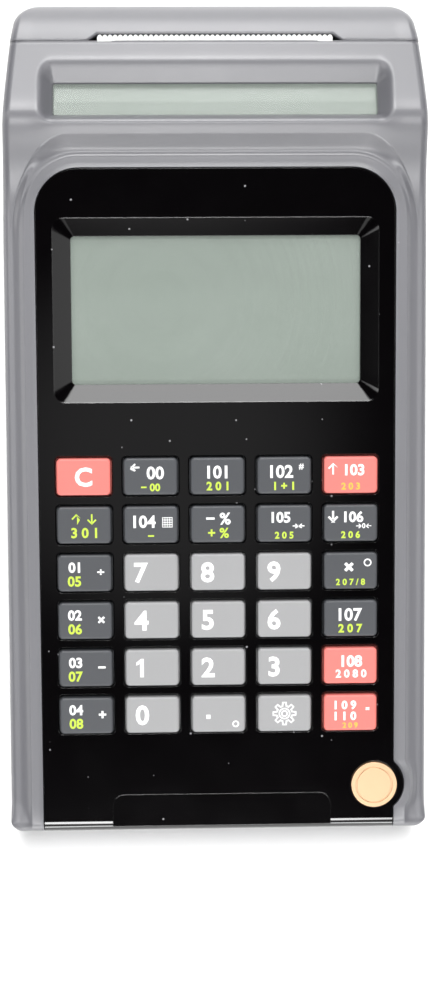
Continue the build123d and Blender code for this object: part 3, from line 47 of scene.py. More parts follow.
# ---- places on the case ----
SLOPE = math.radians(12)
ALONG = np.array([0, math.cos(SLOPE), math.sin(SLOPE)])    # up the panel
OUT = np.array([0, -math.sin(SLOPE), math.cos(SLOPE)])     # out of the panel
PANEL_ORIGIN = np.array([0, -100.6237, 23.0])
ROLL_RADIUS = 3.0
ROLL_ANGLE = math.pi / 2 - SLOPE
ROLL_LENGTH = ROLL_RADIUS * ROLL_ANGLE
FADE_START = 5.0
FRONT_DROP = 5.066              # from the roll down to the parting line
PARTING_Z = 15.0
FRONT_Y, REAR_Y = -103.0, 103.0
SEAM_Y = 89.3
PLAN_CORNER = 3.0
HALF_WIDTH = 53.0

PANEL_HALF = 44.4
PANEL_END = 164.17
PANEL_CORNER = 10.8
GAP = 0.2
SHOULDER = 2.0                  # rounding where the top turns into the sides
SHELF = -1.8                    # height of the sides' shelf under the panel's plane
RIM = 3.1                       # width of the strip and crest round the panel
RIM_ROOM = 6.4                  # where the case leaves less room than this, the rim gets narrower
ARCH_START, ARCH_END = 149.5, 172.2
ARCH_FLAT = 36.5
ARCH_POWER = 1.8                # exponent of the superellipse at the arch's corners
CREST_U, CREST_V = 174.70, 8.46

RECESS_HALF, GLASS_HALF = 42.4, 39.5
RECESS_FRONT, GLASS_FRONT, GLASS_REAR, RECESS_REAR = 0.3, 3.1, 11.1, 15.7
RECESS_DEPTH = 3.4
RECESS_SOFT = 0.3               # share of the ramp over which the recess's mouth is rounded

LID_FALL = 13                   # slope of the lid just behind the seam, degrees
LID_BOTTOM = 19.8
SEAM_GAP = 0.3                  # between the hump and the lid
HUMP_FALL = math.radians(18)    # slope of the hump's top against the panel's plane
HUMP_SLOPE = math.tan(HUMP_FALL)
WALL = 1.9                      # thickness of the moulded skins
CROWN = 0.35                    # how much lower the hump's top is at its sides
# openings for the sockets in the left wall: middle along the case, half width, top
SOCKET_HOLES = ((-73, 4.7, 17.8), (-53, 6.2, 20.3), (-32, 8.2, 22.3))

SEAL_X, SEAL_U, SEAL_WELL = 39.6, 8.8, 7.7
KEY_PITCH_X, KEY_PITCH_U = 16.656, 12.10
KEY_ROW_TOP = 88.28
KEY_TOP = 1.5
PRINT = 0.012                   # half the thickness of a printed sign


def smooth(t):
    """0 below 0, 1 above 1, and 3t^2 - 2t^3 between."""
    t = np.clip(t, 0, 1)
    return t * t * (3 - 2 * t)


def on_panel(x, u, v):
    """Points at x across, u up the panel from its front edge and v out of it."""
    x, u, v = np.broadcast_arrays(*np.atleast_1d(x, u, v))
    return x[..., None] * np.array([1, 0, 0]) + u[..., None] * ALONG + v[..., None] * OUT + PANEL_ORIGIN


def over_front(x, p, n):
    """Like on_panel for p above 0. Below 0 the surface turns down round a roll of
    radius 3 and then drops straight to the parting line, with n measured outwards."""
    x, p, n = np.broadcast_arrays(*np.atleast_1d(x, p, n))
    turn = np.clip(-p / ROLL_RADIUS, 0, ROLL_ANGLE)
    centre = PANEL_ORIGIN - ROLL_RADIUS * OUT
    angle = SLOPE + turn
    y = centre[1] - (ROLL_RADIUS + n) * np.sin(angle) + np.maximum(p, 0) * ALONG[1]
    z = centre[2] + (ROLL_RADIUS + n) * np.cos(angle) + np.maximum(p, 0) * ALONG[2]
    z = z - np.maximum(-p - ROLL_LENGTH, 0)
    return np.stack([x, y, z], -1)


def arc(a, b, c, count):
    """Points on the circle through a, b and c, from a to c."""
    (ax, ay), (bx, by), (cx, cy) = a, b, c
    d = 2 * (ax * (by - cy) + bx * (cy - ay) + cx * (ay - by))
    ox = ((ax**2 + ay**2) * (by - cy) + (bx**2 + by**2) * (cy - ay) + (cx**2 + cy**2) * (ay - by)) / d
    oy = ((ax**2 + ay**2) * (cx - bx) + (bx**2 + by**2) * (ax - cx) + (cx**2 + cy**2) * (bx - ax)) / d
    radius = math.hypot(ax - ox, ay - oy)
    start, end = math.atan2(ay - oy, ax - ox), math.atan2(cy - oy, cx - ox)
    middle = math.atan2(by - oy, bx - ox)
    if not min(start, end) <= middle <= max(start, end):
        end += 2 * math.pi if end < start else -2 * math.pi
    turn = np.linspace(start, end, count)
    return ox + radius * np.cos(turn), oy + radius * np.sin(turn)


# half widths where the side starts to bend in, where the rear's round starts, and at the rear
WAIST, NARROW, FLAT = 52.6, 49.3, 42.7
BEND_Y, NARROW_Y = 45.0, 94.2
flank_x, flank_y = arc((WAIST, BEND_Y), (WAIST - 0.962, (BEND_Y + NARROW_Y) / 2), (NARROW, NARROW_Y), 80)
rear_x, rear_y = arc((NARROW, NARROW_Y), (0.62 * NARROW + 0.38 * FLAT, 0.7 * REAR_Y + 0.3 * NARROW_Y),
                     (FLAT, REAR_Y), 80)
SIDE_Y = np.concatenate([[FRONT_Y], flank_y, rear_y[1:]])
SIDE_X = np.concatenate([[HALF_WIDTH], flank_x, rear_x[1:]])


def half_width(y):
    """Half the case's width at y, seen from above."""
    return np.interp(y, SIDE_Y, SIDE_X)


def hermite(t, a, b, slope_a, slope_b):
    """Cubic from a to b as t goes from 0 to 1, with these slopes at its ends."""
    return (a * (1 + 2 * t) * (1 - t) ** 2 + slope_a * t * (1 - t) ** 2
            + b * t * t * (3 - 2 * t) - slope_b * t * t * (1 - t))


def shoulder_height(u):
    """Height over the panel's plane of the hump's shoulder: level at the arch's foot,
    rising to a rounded crest, then falling to the rear."""
    u = np.asarray(u, float)
    stations = np.array([[ARCH_START, SHELF, 0], [172.3, 5.4, 0.72], [175.2, 7.35, 0.42],
                         [176.6, 7.62, 0.0], [178.2, CREST_V - HUMP_SLOPE * 3.5, -HUMP_SLOPE]])
    height = np.where(u < ARCH_START, SHELF, CREST_V - HUMP_SLOPE * (u - CREST_U))
    for (u0, v0, s0), (u1, v1, s1) in zip(stations, stations[1:]):
        t = (u - u0) / (u1 - u0)
        part = hermite(t, v0, v1, s0 * (u1 - u0), s1 * (u1 - u0))
        height = np.where((t >= 0) & (t < 1), part, height)
    return height


def hump_height(x, u):
    """The shoulder's height less a slight crown across the case. Towards the sides the crest
    is drawn out into a long round by averaging the height over 4.5 mm on either side."""
    x, u = np.broadcast_arrays(x, u)
    offsets = np.linspace(-1, 1, 9)
    weights = 1 - offsets**2 * 0.9
    soft = sum(w * shoulder_height(u + 4.5 * k) for k, w in zip(offsets, weights)) / weights.sum()
    near_side = smooth((np.abs(x) - 36) / 10) * smooth((u - ARCH_START - 2) / 14)
    height = shoulder_height(u) * (1 - near_side) + soft * near_side
    return height - CROWN * (x / 50) ** 2 * smooth((u - ARCH_START) / 15)


# ---- meshes from grids ----
def build(name, sheets, body, finish, thickness=0, sharp=35):
    """One piece from grids of points: each sheet is (points[row, column, xyz], kept cells or None).
    Points that coincide become one. A thickness is added inwards."""
    points, faces, start = [], [], 0
    for grid, keep in sheets:
        rows, columns = grid.shape[:2]
        index = start + np.arange(rows * columns).reshape(rows, columns)
        cells = np.stack([index[:-1, :-1], index[:-1, 1:], index[1:, 1:], index[1:, :-1]], -1)
        faces.append(cells.reshape(-1, 4) if keep is None else cells[keep])
        points.append(grid.reshape(-1, 3))
        start += rows * columns
    points = np.concatenate(points) * MM
    mesh = bpy.data.meshes.new(name)
    mesh.from_pydata(points.tolist(), [], np.concatenate(faces).tolist())
    bm = bmesh.new()
    bm.from_mesh(mesh)
    bmesh.ops.remove_doubles(bm, verts=bm.verts, dist=2e-6)
    bmesh.ops.dissolve_degenerate(bm, edges=bm.edges, dist=1e-6)
    loose = [v for v in bm.verts if not v.link_faces]
    bmesh.ops.delete(bm, geom=loose, context="VERTS")
    bmesh.ops.recalc_face_normals(bm, faces=bm.faces)
    middle = Vector(points.mean(0))
    outward = sum(f.normal.dot(f.calc_center_median() - middle) * f.calc_area() for f in bm.faces)
    if outward < 0:
        bmesh.ops.reverse_faces(bm, faces=bm.faces)
    bm.to_mesh(mesh)
    bm.free()
    piece = bpy.data.objects.new(name, mesh)
    bpy.context.scene.collection.objects.link(piece)
    mesh.polygons.foreach_set("use_smooth", np.ones(len(mesh.polygons), bool))
    mesh.set_sharp_from_angle(angle=math.radians(sharp))
    mesh.materials.append(finish)
    if thickness:
        wall = piece.modifiers.new("wall", "SOLIDIFY")
        wall.thickness = thickness * MM
        wall.offset = -1
        wall.use_even_offset = False
    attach(piece, body)
    return piece


# ---- node groups shared by the finishes ----
def new_group(name, inputs, outputs):
    """An empty shader node group with these named values in and these sockets out."""
    group = bpy.data.node_groups.new(name, "ShaderNodeTree")
    for label, kind, value in inputs:
        socket = group.interface.new_socket(label, in_out="INPUT", socket_type=kind)
        if value is not None:
            socket.default_value = value
    for label, kind in outputs:
        group.interface.new_socket(label, in_out="OUTPUT", socket_type=kind)
    return group, group.nodes.new("NodeGroupInput"), group.nodes.new("NodeGroupOutput")


def noise(tree, vector, scale, detail=3.0, rough=0.5):
    """A noise pattern; its scale is a number or a socket."""
    node = tree.nodes.new("ShaderNodeTexNoise")
    node.inputs["Scale"].default_value = scale if isinstance(scale, (int, float)) else 1
    node.inputs["Detail"].default_value = detail
    node.inputs["Roughness"].default_value = rough
    tree.links.new(vector, node.inputs["Vector"])
    if not isinstance(scale, (int, float)):
        tree.links.new(scale, node.inputs["Scale"])
    return node.outputs["Fac"]


def ramp(tree, value, low, high, to_low=0.0, to_high=1.0):
    """Value from low..high carried to to_low..to_high, clamped."""
    node = tree.nodes.new("ShaderNodeMapRange")
    node.clamp = True
    for label, number in (("From Min", low), ("From Max", high), ("To Min", to_low), ("To Max", to_high)):
        node.inputs[label].default_value = number
    tree.links.new(value, node.inputs["Value"])
    return node.outputs["Result"]


def maths(tree, kind, a, b):
    """One sum, difference or product of sockets or numbers."""
    node = tree.nodes.new("ShaderNodeMath")
    node.operation = kind
    for socket, value in zip(node.inputs, (a, b)):
        if isinstance(value, (int, float)):
            socket.default_value = value
        else:
            tree.links.new(value, socket)
    return node.outputs[0]


def make_moulded_surface():
    """Moulded plastic: fine spark-eroded grain for bump, broad tone and handling marks."""
    group, i, o = new_group(
        "moulded_surface",
        [("Place", "NodeSocketVector", None), ("Grain", "NodeSocketFloat", 2600.0),
         ("Tone", "NodeSocketFloat", 0.05), ("Base", "NodeSocketColor", (0.5, 0.5, 0.5, 1))],
        [("Color", "NodeSocketColor"), ("Roughness Shift", "NodeSocketFloat"), ("Height", "NodeSocketFloat")])
    place = i.outputs["Place"]
    grain = noise(group, place, i.outputs["Grain"], 2.0, 0.6)
    fine = noise(group, place, 9000.0, 1.0)
    broad = ramp(group, noise(group, place, 28.0, 4.0), 0.3, 0.7, -1.0, 1.0)
    shift = maths(group, "MULTIPLY", broad, i.outputs["Tone"])
    speck = ramp(group, fine, 0.35, 0.65, -0.02, 0.02)
    tone = maths(group, "ADD", maths(group, "ADD", shift, speck), 1.0)
    scale = group.nodes.new("ShaderNodeVectorMath")
    scale.operation = "SCALE"
    group.links.new(i.outputs["Base"], scale.inputs[0])
    group.links.new(tone, scale.inputs["Scale"])
    group.links.new(scale.outputs[0], o.inputs["Color"])
    handled = ramp(group, noise(group, place, 90.0, 5.0, 0.6), 0.2, 0.8, -0.015, 0.02)
    group.links.new(handled, o.inputs["Roughness Shift"])
    group.links.new(grain, o.inputs["Height"])
    return group


def make_dust():
    """Sparse specks of dust, as a mask from small cells of a Voronoi pattern."""
    group, i, o = new_group(
        "dust_specks",
        [("Place", "NodeSocketVector", None), ("Scale", "NodeSocketFloat", 420.0),
         ("Amount", "NodeSocketFloat", 0.1)],
        [("Mask", "NodeSocketFloat")])
    cells = group.nodes.new("ShaderNodeTexVoronoi")
    group.links.new(i.outputs["Place"], cells.inputs["Vector"])
    group.links.new(i.outputs["Scale"], cells.inputs["Scale"])
    parts = group.nodes.new("ShaderNodeSeparateColor")
    group.links.new(cells.outputs["Color"], parts.inputs[0])
    near = ramp(group, cells.outputs["Distance"], 0.05, 0.14, 1.0, 0.0)
    chosen = maths(group, "LESS_THAN", parts.outputs[0], i.outputs["Amount"])
    group.links.new(maths(group, "MULTIPLY", near, chosen), o.inputs["Mask"])
    return group


def make_edge_wear():
    """Rubbed edges, partly a painted highlight: where a rounded normal leaves the true one, broken up by
    noise.
    """
    group, i, o = new_group(
        "edge_wear_and_highlight",
        [("Place", "NodeSocketVector", None), ("Round", "NodeSocketVector", None),
         ("Strength", "NodeSocketFloat", 1.0)],
        [("Mask", "NodeSocketFloat")])
    geometry = group.nodes.new("ShaderNodeNewGeometry")
    dot = group.nodes.new("ShaderNodeVectorMath")
    dot.operation = "DOT_PRODUCT"
    group.links.new(geometry.outputs["Normal"], dot.inputs[0])
    group.links.new(i.outputs["Round"], dot.inputs[1])
    edge = ramp(group, dot.outputs["Value"], 0.8, 0.995, 1.0, 0.0)
    broken = ramp(group, noise(group, i.outputs["Place"], 380.0, 5.0, 0.65), 0.4, 0.62)
    mask = maths(group, "MULTIPLY", maths(group, "MULTIPLY", edge, broken), i.outputs["Strength"])
    group.links.new(mask, o.inputs["Mask"])
    return group


MOULDED = make_moulded_surface()
DUST = make_dust()
WEAR_AND_HIGHLIGHT = make_edge_wear()


def srgb(r, g, b):
    """Linear colour of an 8-bit display colour."""
    value = np.array([r, g, b]) / 255
    return tuple(np.where(value <= 0.04045, value / 12.92, ((value + 0.055) / 1.055) ** 2.4)) + (1.0,)


DUST_GREY = (0.35, 0.35, 0.36, 1)


def finish(name, colour, roughness, grain=2600.0, bump=0.02, tone=0.05, dust=0.0, wear_and_highlight=0.0,
           wear_and_highlight_colour=(0.6, 0.6, 0.6, 1), edge=0.0, **shader):
    """A moulded or machined finish: base colour with slow tone, grain bump, dust, and edges lightened partly
    by wear and partly as a painted highlight.
    Whatever else is given is set on the shader's own sockets."""
    material = bpy.data.materials.new(name)
    material.use_nodes = True
    tree = material.node_tree
    bsdf = tree.nodes["Principled BSDF"]
    place = tree.nodes.new("ShaderNodeTexCoord").outputs["Object"]
    surface = tree.nodes.new("ShaderNodeGroup")
    surface.node_tree = MOULDED
    tree.links.new(place, surface.inputs["Place"])
    surface.inputs["Grain"].default_value = grain
    surface.inputs["Tone"].default_value = tone
    surface.inputs["Base"].default_value = colour
    result = surface.outputs["Color"]
    rounded = None
    if edge:
        bevel = tree.nodes.new("ShaderNodeBevel")
        bevel.samples = 4
        bevel.inputs["Radius"].default_value = edge * MM
        rounded = bevel.outputs["Normal"]
    # Edges are lightened towards a lighter grey: partly real rubbing, partly a painted highlight along edges
    # and the crest.
    if wear_and_highlight and edge:
        rubbed_and_lit = tree.nodes.new("ShaderNodeGroup")
        rubbed_and_lit.node_tree = WEAR_AND_HIGHLIGHT
        rubbed_and_lit.inputs["Strength"].default_value = wear_and_highlight
        tree.links.new(place, rubbed_and_lit.inputs["Place"])
        tree.links.new(rounded, rubbed_and_lit.inputs["Round"])
        result = blend_colours(tree, rubbed_and_lit.outputs["Mask"], result, wear_and_highlight_colour)
    if dust:
        specks = tree.nodes.new("ShaderNodeGroup")
        specks.node_tree = DUST
        specks.inputs["Amount"].default_value = dust
        tree.links.new(place, specks.inputs["Place"])
        result = blend_colours(tree, specks.outputs["Mask"], result, DUST_GREY)
    tree.links.new(result, bsdf.inputs["Base Color"])
    tree.links.new(
        maths(tree, "ADD", surface.outputs["Roughness Shift"], roughness), bsdf.inputs["Roughness"])
    relief = tree.nodes.new("ShaderNodeBump")
    relief.inputs["Strength"].default_value = 1.0
    relief.inputs["Distance"].default_value = bump * MM
    tree.links.new(surface.outputs["Height"], relief.inputs["Height"])
    if rounded is not None:
        tree.links.new(rounded, relief.inputs["Normal"])
    tree.links.new(relief.outputs["Normal"], bsdf.inputs["Normal"])
    for label, value in shader.items():
        bsdf.inputs[label.replace("_", " ")].default_value = value
    return material


def blend_colours(tree, mask, a, b):
    """a where the mask is 0, b where it is 1."""
    node = tree.nodes.new("ShaderNodeMix")
    node.data_type = "RGBA"
    tree.links.new(mask, node.inputs["Factor"])
    for socket, value in ((node.inputs[6], a), (node.inputs[7], b)):
        if isinstance(value, tuple):
            socket.default_value = value
        else:
            tree.links.new(value, socket)
    return node.outputs[2]


# The case's edges are lightened a little: partly rubbed wear, partly a painted highlight along its edges and
# crest.
CASE = finish("case_grey_plastic", srgb(104, 104, 109), 0.40, grain=3200, bump=0.008, tone=0.02,
              dust=0.002, wear_and_highlight=0.05, wear_and_highlight_colour=srgb(150, 150, 154), edge=0.25,
              Specular_IOR_Level=1.0, Coat_Weight=0.5, Coat_Roughness=0.38)
GLOSS = finish("black_gloss_plastic", (0.0016, 0.0013, 0.0016, 1), 0.09, grain=700, bump=0.0012, tone=0.1,
               dust=0.09, edge=0.22, Coat_Weight=0.5, Coat_Roughness=0.05)
KEY_RED = finish("key_rubber_red", srgb(230, 122, 114), 0.42, grain=3600, bump=0.01, tone=0.02, edge=0.35)
KEY_LIGHT = finish("key_rubber_light", srgb(156, 156, 157), 0.42, grain=3600, bump=0.01, tone=0.02, edge=0.35)
KEY_DARK = finish("key_rubber_dark", srgb(70, 72, 76), 0.42, grain=3600, bump=0.01, tone=0.02, edge=0.35)
PRINT_WHITE = finish("print_white", srgb(250, 250, 250), 0.5, grain=2500, bump=0.003, tone=0.01)
PRINT_GREEN = finish("print_green", srgb(196, 222, 70), 0.5, grain=2500, bump=0.003, tone=0.02)
PRINT_AMBER = finish("print_amber", srgb(240, 190, 70), 0.5, grain=2500, bump=0.003, tone=0.02)
LCD = finish("display_grey_green", srgb(138, 148, 140), 0.25, grain=420, bump=0.0008, tone=0.05,
             Coat_Weight=1.0, Coat_Roughness=0.03)
BOARD = finish("board_green", srgb(28, 92, 60), 0.38, grain=900, bump=0.004, tone=0.12, edge=0.15,
               Coat_Weight=0.5)
STEEL = finish("plated_steel", srgb(196, 197, 200), 0.28, grain=1400, bump=0.004, tone=0.05, edge=0.12,
               Metallic=1.0)
CUTTER = finish("cutter_white_plastic", srgb(232, 232, 228), 0.35, grain=2400, bump=0.006, tone=0.02,
                edge=0.1, Subsurface_Weight=0.08)
ROLLER = finish("platen_rubber", srgb(44, 44, 46), 0.62, grain=2400, bump=0.02, tone=0.06, edge=0.15)
GEARS = finish("gear_acetal", srgb(228, 226, 216), 0.4, grain=1800, bump=0.005, tone=0.03, edge=0.08)
BRASS = finish("seal_brass", srgb(224, 186, 148), 0.36, grain=2200, bump=0.003, tone=0.04, edge=0.15,
               Metallic=0.55)
ALUMINIUM = finish("head_aluminium", srgb(190, 192, 196), 0.34, grain=1600, bump=0.005, tone=0.05,
                   edge=0.12, Metallic=1.0)
WRAP = finish("battery_wrap", srgb(38, 74, 130), 0.30, grain=500, bump=0.01, tone=0.08, edge=0.3,
              Coat_Weight=0.6)
FOOT = finish("foot_rubber", srgb(34, 34, 36), 0.75, grain=1500, bump=0.03, tone=0.10, dust=0.03, edge=0.3)
SOCKET = finish("socket_black_plastic", srgb(24, 24, 26), 0.45, grain=2600, bump=0.01, tone=0.06, edge=0.15)
MAT = finish("silicone_mat", srgb(70, 72, 76), 0.55, grain=2600, bump=0.01, tone=0.05, edge=0.2)


def make_glass():
    """Thin clear window: mostly see-through, with a faint green tint and fine haze in its gloss."""
    material = bpy.data.materials.new("window_clear")
    material.use_nodes = True
    tree = material.node_tree
    bsdf = tree.nodes["Principled BSDF"]
    place = tree.nodes.new("ShaderNodeTexCoord").outputs["Object"]
    haze = ramp(tree, noise(tree, place, 160.0, 4.0), 0.35, 0.7, 0.04, 0.10)
    tree.links.new(haze, bsdf.inputs["Roughness"])
    tree.links.new(blend_colours(
        tree, ramp(tree, noise(tree, place, 40.0, 2.0), 0.3, 0.7), srgb(206, 216, 208), srgb(196, 208, 198)),
        bsdf.inputs["Base Color"])
    bsdf.inputs["Alpha"].default_value = 0.16
    bsdf.inputs["IOR"].default_value = 1.5
    return material


CLEAR = make_glass()


# ---- case ----
def wall_levels(top):
    """Heights of the side wall's rows under its top, snapped to the sockets' openings."""
    height = top - PARTING_Z
    ceilings = [hole[2] for hole in SOCKET_HOLES[::-1]]
    marks = [top] + [np.minimum(ceiling, PARTING_Z + share * height)
                     for share, ceiling in zip((0.8, 0.55, 0.28), ceilings)] + [PARTING_Z + 0 * top]
    rows = []
    for upper, lower, count in zip(marks, marks[1:], (4, 2, 2, 2)):
        rows += [upper + (lower - upper) * t for t in np.arange(count) / count]
    return np.array(rows + [marks[-1]])


def side_places():
    """Distances along the case's side strip: down the front, round the roll, then up the slope."""
    roll_end = np.array([PARTING_Z + FRONT_DROP])
    down = -ROLL_LENGTH - (roll_end - wall_levels(roll_end)[:, 0])
    return np.concatenate([down[::-1][:-1], np.linspace(-ROLL_LENGTH, 0, 9)[:-1],
                           np.linspace(0, 18, 37)[:-1], np.linspace(18, ARCH_START, 54)[:-1]])


def roof_columns():
    """Half widths of the hump's columns in front of the arch's corner, from its end to the middle."""
    return np.concatenate([[ARCH_FLAT, 35.5, 34.5], np.arange(33, -0.1, -1.5)])


def arch_right():
    """The arch on the right half, from its foot on the side to the middle:
    a superellipse, then a straight run across."""
    turn = np.linspace(0, math.pi / 2, 41)
    foot_y = on_panel(0, ARCH_START, SHELF)[0, 1]
    reach = half_width(foot_y) - SHOULDER - ARCH_FLAT
    x = ARCH_FLAT + reach * np.cos(turn) ** (2 / ARCH_POWER)
    u = ARCH_START + (ARCH_END - ARCH_START) * np.sin(turn) ** (2 / ARCH_POWER)
    flat = roof_columns()[1:]
    return np.concatenate([x, flat]), np.concatenate([u, np.full(len(flat), ARCH_END)])


def outline_right(share_u, x_out):
    """The panel's gap outline on the right half, matched to the arch: round its corner for
    columns outside x = 33.6, and straight across inside."""
    half, end, corner = PANEL_HALF + GAP, PANEL_END + GAP, PANEL_CORNER + GAP
    straight = end - corner - ARCH_START
    length = straight + corner * math.pi / 2
    walked = share_u * length
    turn = np.clip((walked - straight) / corner, 0, math.pi / 2)
    x = half - corner + corner * np.cos(turn)
    u = np.where(walked < straight, ARCH_START + walked, end - corner + corner * np.sin(turn))
    inside = x_out < half - corner
    return np.where(inside, x_out, x), np.where(inside, end, u)


def seal_gap(u):
    """Half width of the panel's gap on the right: a circle round the seal where that is wider."""
    reach = np.sqrt(np.maximum(SEAL_WELL**2 - (u - SEAL_U) ** 2, 0))
    return np.maximum(PANEL_HALF + GAP, np.where(np.abs(u - SEAL_U) < SEAL_WELL, SEAL_X + reach, 0))


def front_fade(p):
    """1 up the slope, falling to 0 where the front's roll ends, so that the sides' shelf, crest
    and shoulder run out there."""
    return 1 - smooth((FADE_START - p) / (FADE_START + ROLL_LENGTH))


def case_ring(side):
    """Rim round the panel: a gap wall, a strip rising to a fine crest, then a cove that falls
    to the sides' shelf and, at the rear, climbs to the arch. Rows run outwards from the panel."""
    p = side_places()
    arch_x, arch_u = arch_right()
    steps = np.hypot(np.diff(arch_x), np.diff(arch_u))
    walked = np.concatenate([[0], np.cumsum(steps)])
    until = np.interp(-(PANEL_HALF - PANEL_CORNER), -arch_x, walked)
    in_x, in_u = outline_right(np.clip(walked / until, 0, 1), arch_x)
    side_y = over_front(0, p, np.full(len(p), SHELF))[:, 1]
    edge = half_width(side_y) - SHOULDER
    x0 = np.concatenate([seal_gap(p) if side > 0 else np.full(len(p), PANEL_HALF + GAP), in_x])
    u0 = np.concatenate([p, in_u])
    x1 = np.concatenate([edge, arch_x])
    u1 = np.concatenate([p, arch_u])
    reach = np.hypot(x1 - x0, u1 - u0)
    squeeze = np.minimum(1, reach / RIM_ROOM)
    rise = smooth((u1 - 145) / 23)
    fade = front_fade(u1)
    foot = np.where(u1 > ARCH_START, hump_height(x1, u1), SHELF)
    rows = [(0.0, -2.05), (0.0, -0.25), (0.05, -0.08), (0.2, 0.0), (1.4, 0.19), (2.5, 0.37),
            (2.72, 0.42), (2.92, 0.41)]
    q, n = [], []
    for distance, height in rows:
        q.append(distance * squeeze)
        n.append(np.full(len(x0), height) * (fade if height > -0.2 else 1))
    flank = 0.28 + 0.08 * rise
    q.append(RIM * squeeze)
    n.append(flank * fade)
    middle_q = (4.4 - 0.5 * rise) * squeeze
    middle_n = -0.9 + 1.35 * rise
    middle_slope = -0.6 + 0.95 * rise
    for t in np.linspace(0, 1, 8)[1:]:
        step = middle_q - RIM * squeeze
        q.append(RIM * squeeze + step * t)
        n.append(hermite(t, flank, middle_n, (1.15 * rise - 1.2) * step, middle_slope * step) * fade)
    for t in np.linspace(0, 1, 12)[1:]:
        span = reach - middle_q
        q.append(middle_q + span * t)
        n.append(hermite(t, middle_n, foot, middle_slope * span, (-0.15 + 1.25 * rise) * span) * fade)
    q, n = np.array(q), np.array(n)
    x = x0 + (x1 - x0) * q / reach
    u = u0 + (u1 - u0) * q / reach
    return over_front(x, u, n), len(p)


def recess_share(x, s):
    """0 outside the display's recess, 1 on its floor: the lower of the side and end ramps, with
    the mouth's corners rounded by taking the distance from the floor as sqrt(a^2 + b^2), and its
    edge by a parabola."""
    side = (RECESS_HALF - np.abs(x)) / (RECESS_HALF - GLASS_HALF)
    ends = np.minimum((s - RECESS_FRONT) / (GLASS_FRONT - RECESS_FRONT),
                      (RECESS_REAR - s) / (RECESS_REAR - GLASS_REAR))
    t = 1 - np.hypot(np.maximum(1 - side, 0), np.maximum(1 - ends, 0))
    mouth = (t + RECESS_SOFT) ** 2 / (4 * RECESS_SOFT)
    return np.clip(np.where(t < -RECESS_SOFT, 0, np.where(t < RECESS_SOFT, mouth, t)), 0, 1)


def roof_point(x, u):
    """A point on the hump's top, sunk along its own normal where the recess is."""
    depth = RECESS_DEPTH * recess_share(x, (u - CREST_U) / math.cos(HUMP_FALL))
    return on_panel(x, u - depth * math.sin(HUMP_FALL), hump_height(x, u) - depth * math.cos(HUMP_FALL))


def seam_u(x, back=0.0):
    """Where the hump's top meets the plane of the seam."""
    reach = SEAM_Y - back - PANEL_ORIGIN[1]
    crown = CROWN * (x / 50) ** 2
    return (reach + math.sin(SLOPE) * (CREST_V + HUMP_SLOPE * CREST_U - crown)) / (
        math.cos(SLOPE) + math.sin(SLOPE) * HUMP_SLOPE)


def case_roof_grid():
    """Places x and u of the hump's top from the arch to the seam. Columns are the arch's own, so
    that the rim joins it point for point; rows shear from the arch to shared lines across the
    recess. Towards the rear the columns outside the recess spread to the shoulder."""
    x, arch_u = arch_right()
    shared, fixed = 173.7, 43.2
    s_lines = np.array([0, 0.3, 0.6, 0.9, 1.3, 1.8, 2.4, 2.9, GLASS_FRONT, 4.5, 6, 7.5, 9, 10, GLASS_REAR,
                        11.5, 12.2, 13, 14, 14.8, 15.3, 15.6, 15.9, 16.3, 17.2, 18.5, 19.8])
    rows_u = np.concatenate([[174.1, 174.4], CREST_U + s_lines * math.cos(HUMP_FALL)])
    first = arch_u + (shared - arch_u) * np.linspace(0, 1, 13)[:, None]
    later = np.broadcast_to(rows_u[:, None], (len(rows_u), len(x)))
    u = np.concatenate([first, later, seam_u(x)[None]])
    y = on_panel(0 * u, u, hump_height(x, u))[..., 1]
    edge = half_width(y) - SHOULDER
    spread = (x - fixed) / (x[0] - fixed)
    return np.where(x > fixed, fixed + (edge - fixed) * spread, x), u


def case_shell(side):
    """Half of the upper case's skin, on the right or, before it is mirrored, for the left."""
    ring, straight = case_ring(side)
    xs, u = case_roof_grid()
    roof = roof_point(xs, u)
    s = (u - CREST_U) / math.cos(HUMP_FALL)
    # shoulder: from the top's edge round a corner to the wall's top
    ring_edge = ring[-1, :straight]
    top_edge = np.concatenate([ring_edge, roof[:, 0]])
    p_side = side_places()
    fade = front_fade(p_side)
    corner_pt = top_edge.copy()
    corner_pt[:, 0] = half_width(top_edge[:, 1])
    wall_top = corner_pt.copy()
    wall_top[:straight] = over_front(
        half_width(ring_edge[:, 1]), p_side, (SHELF - SHOULDER) * fade)
    rest_y = top_edge[straight:, 1]
    back = SHOULDER * np.sin(SLOPE) * (1 - smooth((rest_y - 45) / 20))
    wall_top[straight:, 1] += back
    wall_top[straight:, 2] -= SHOULDER
    wall_top[straight:, 0] = half_width(wall_top[straight:, 1])
    turn = np.linspace(0, math.pi / 2, 8)[:, None, None]
    shoulder = top_edge + (corner_pt - top_edge) * np.sin(turn) + (wall_top - corner_pt) * (1 - np.cos(turn))
    foot = wall_top[np.count_nonzero(p_side < -ROLL_LENGTH - 1e-6):]
    rows = wall_levels(foot[:, 2])
    wall = np.stack([np.broadcast_to(foot[:, 0], rows.shape),
                     np.broadcast_to(foot[:, 1], rows.shape), rows], -1)
    return ring, roof, shoulder, wall, xs, s


def around_plan_corner(points):
    """Rounds the two upright front edges: within 3 mm of both the side and the front,
    the square (a, b) goes to the quarter disc (a sqrt(1 - b^2/2), b sqrt(1 - a^2/2))."""
    x, y = np.abs(points[..., 0]), points[..., 1]
    a = np.clip((x - (HALF_WIDTH - PLAN_CORNER)) / PLAN_CORNER, 0, 1)
    b = np.clip((FRONT_Y + PLAN_CORNER - y) / PLAN_CORNER, 0, 1)
    moved = points.copy()
    new_x = HALF_WIDTH - PLAN_CORNER + PLAN_CORNER * a * np.sqrt(1 - b * b / 2)
    new_y = FRONT_Y + PLAN_CORNER - PLAN_CORNER * b * np.sqrt(1 - a * a / 2)
    both = (a > 0) & (b > 0)
    moved[..., 0] = np.where(both, np.sign(points[..., 0]) * new_x, points[..., 0])
    moved[..., 1] = np.where(both, new_y, y)
    return moved


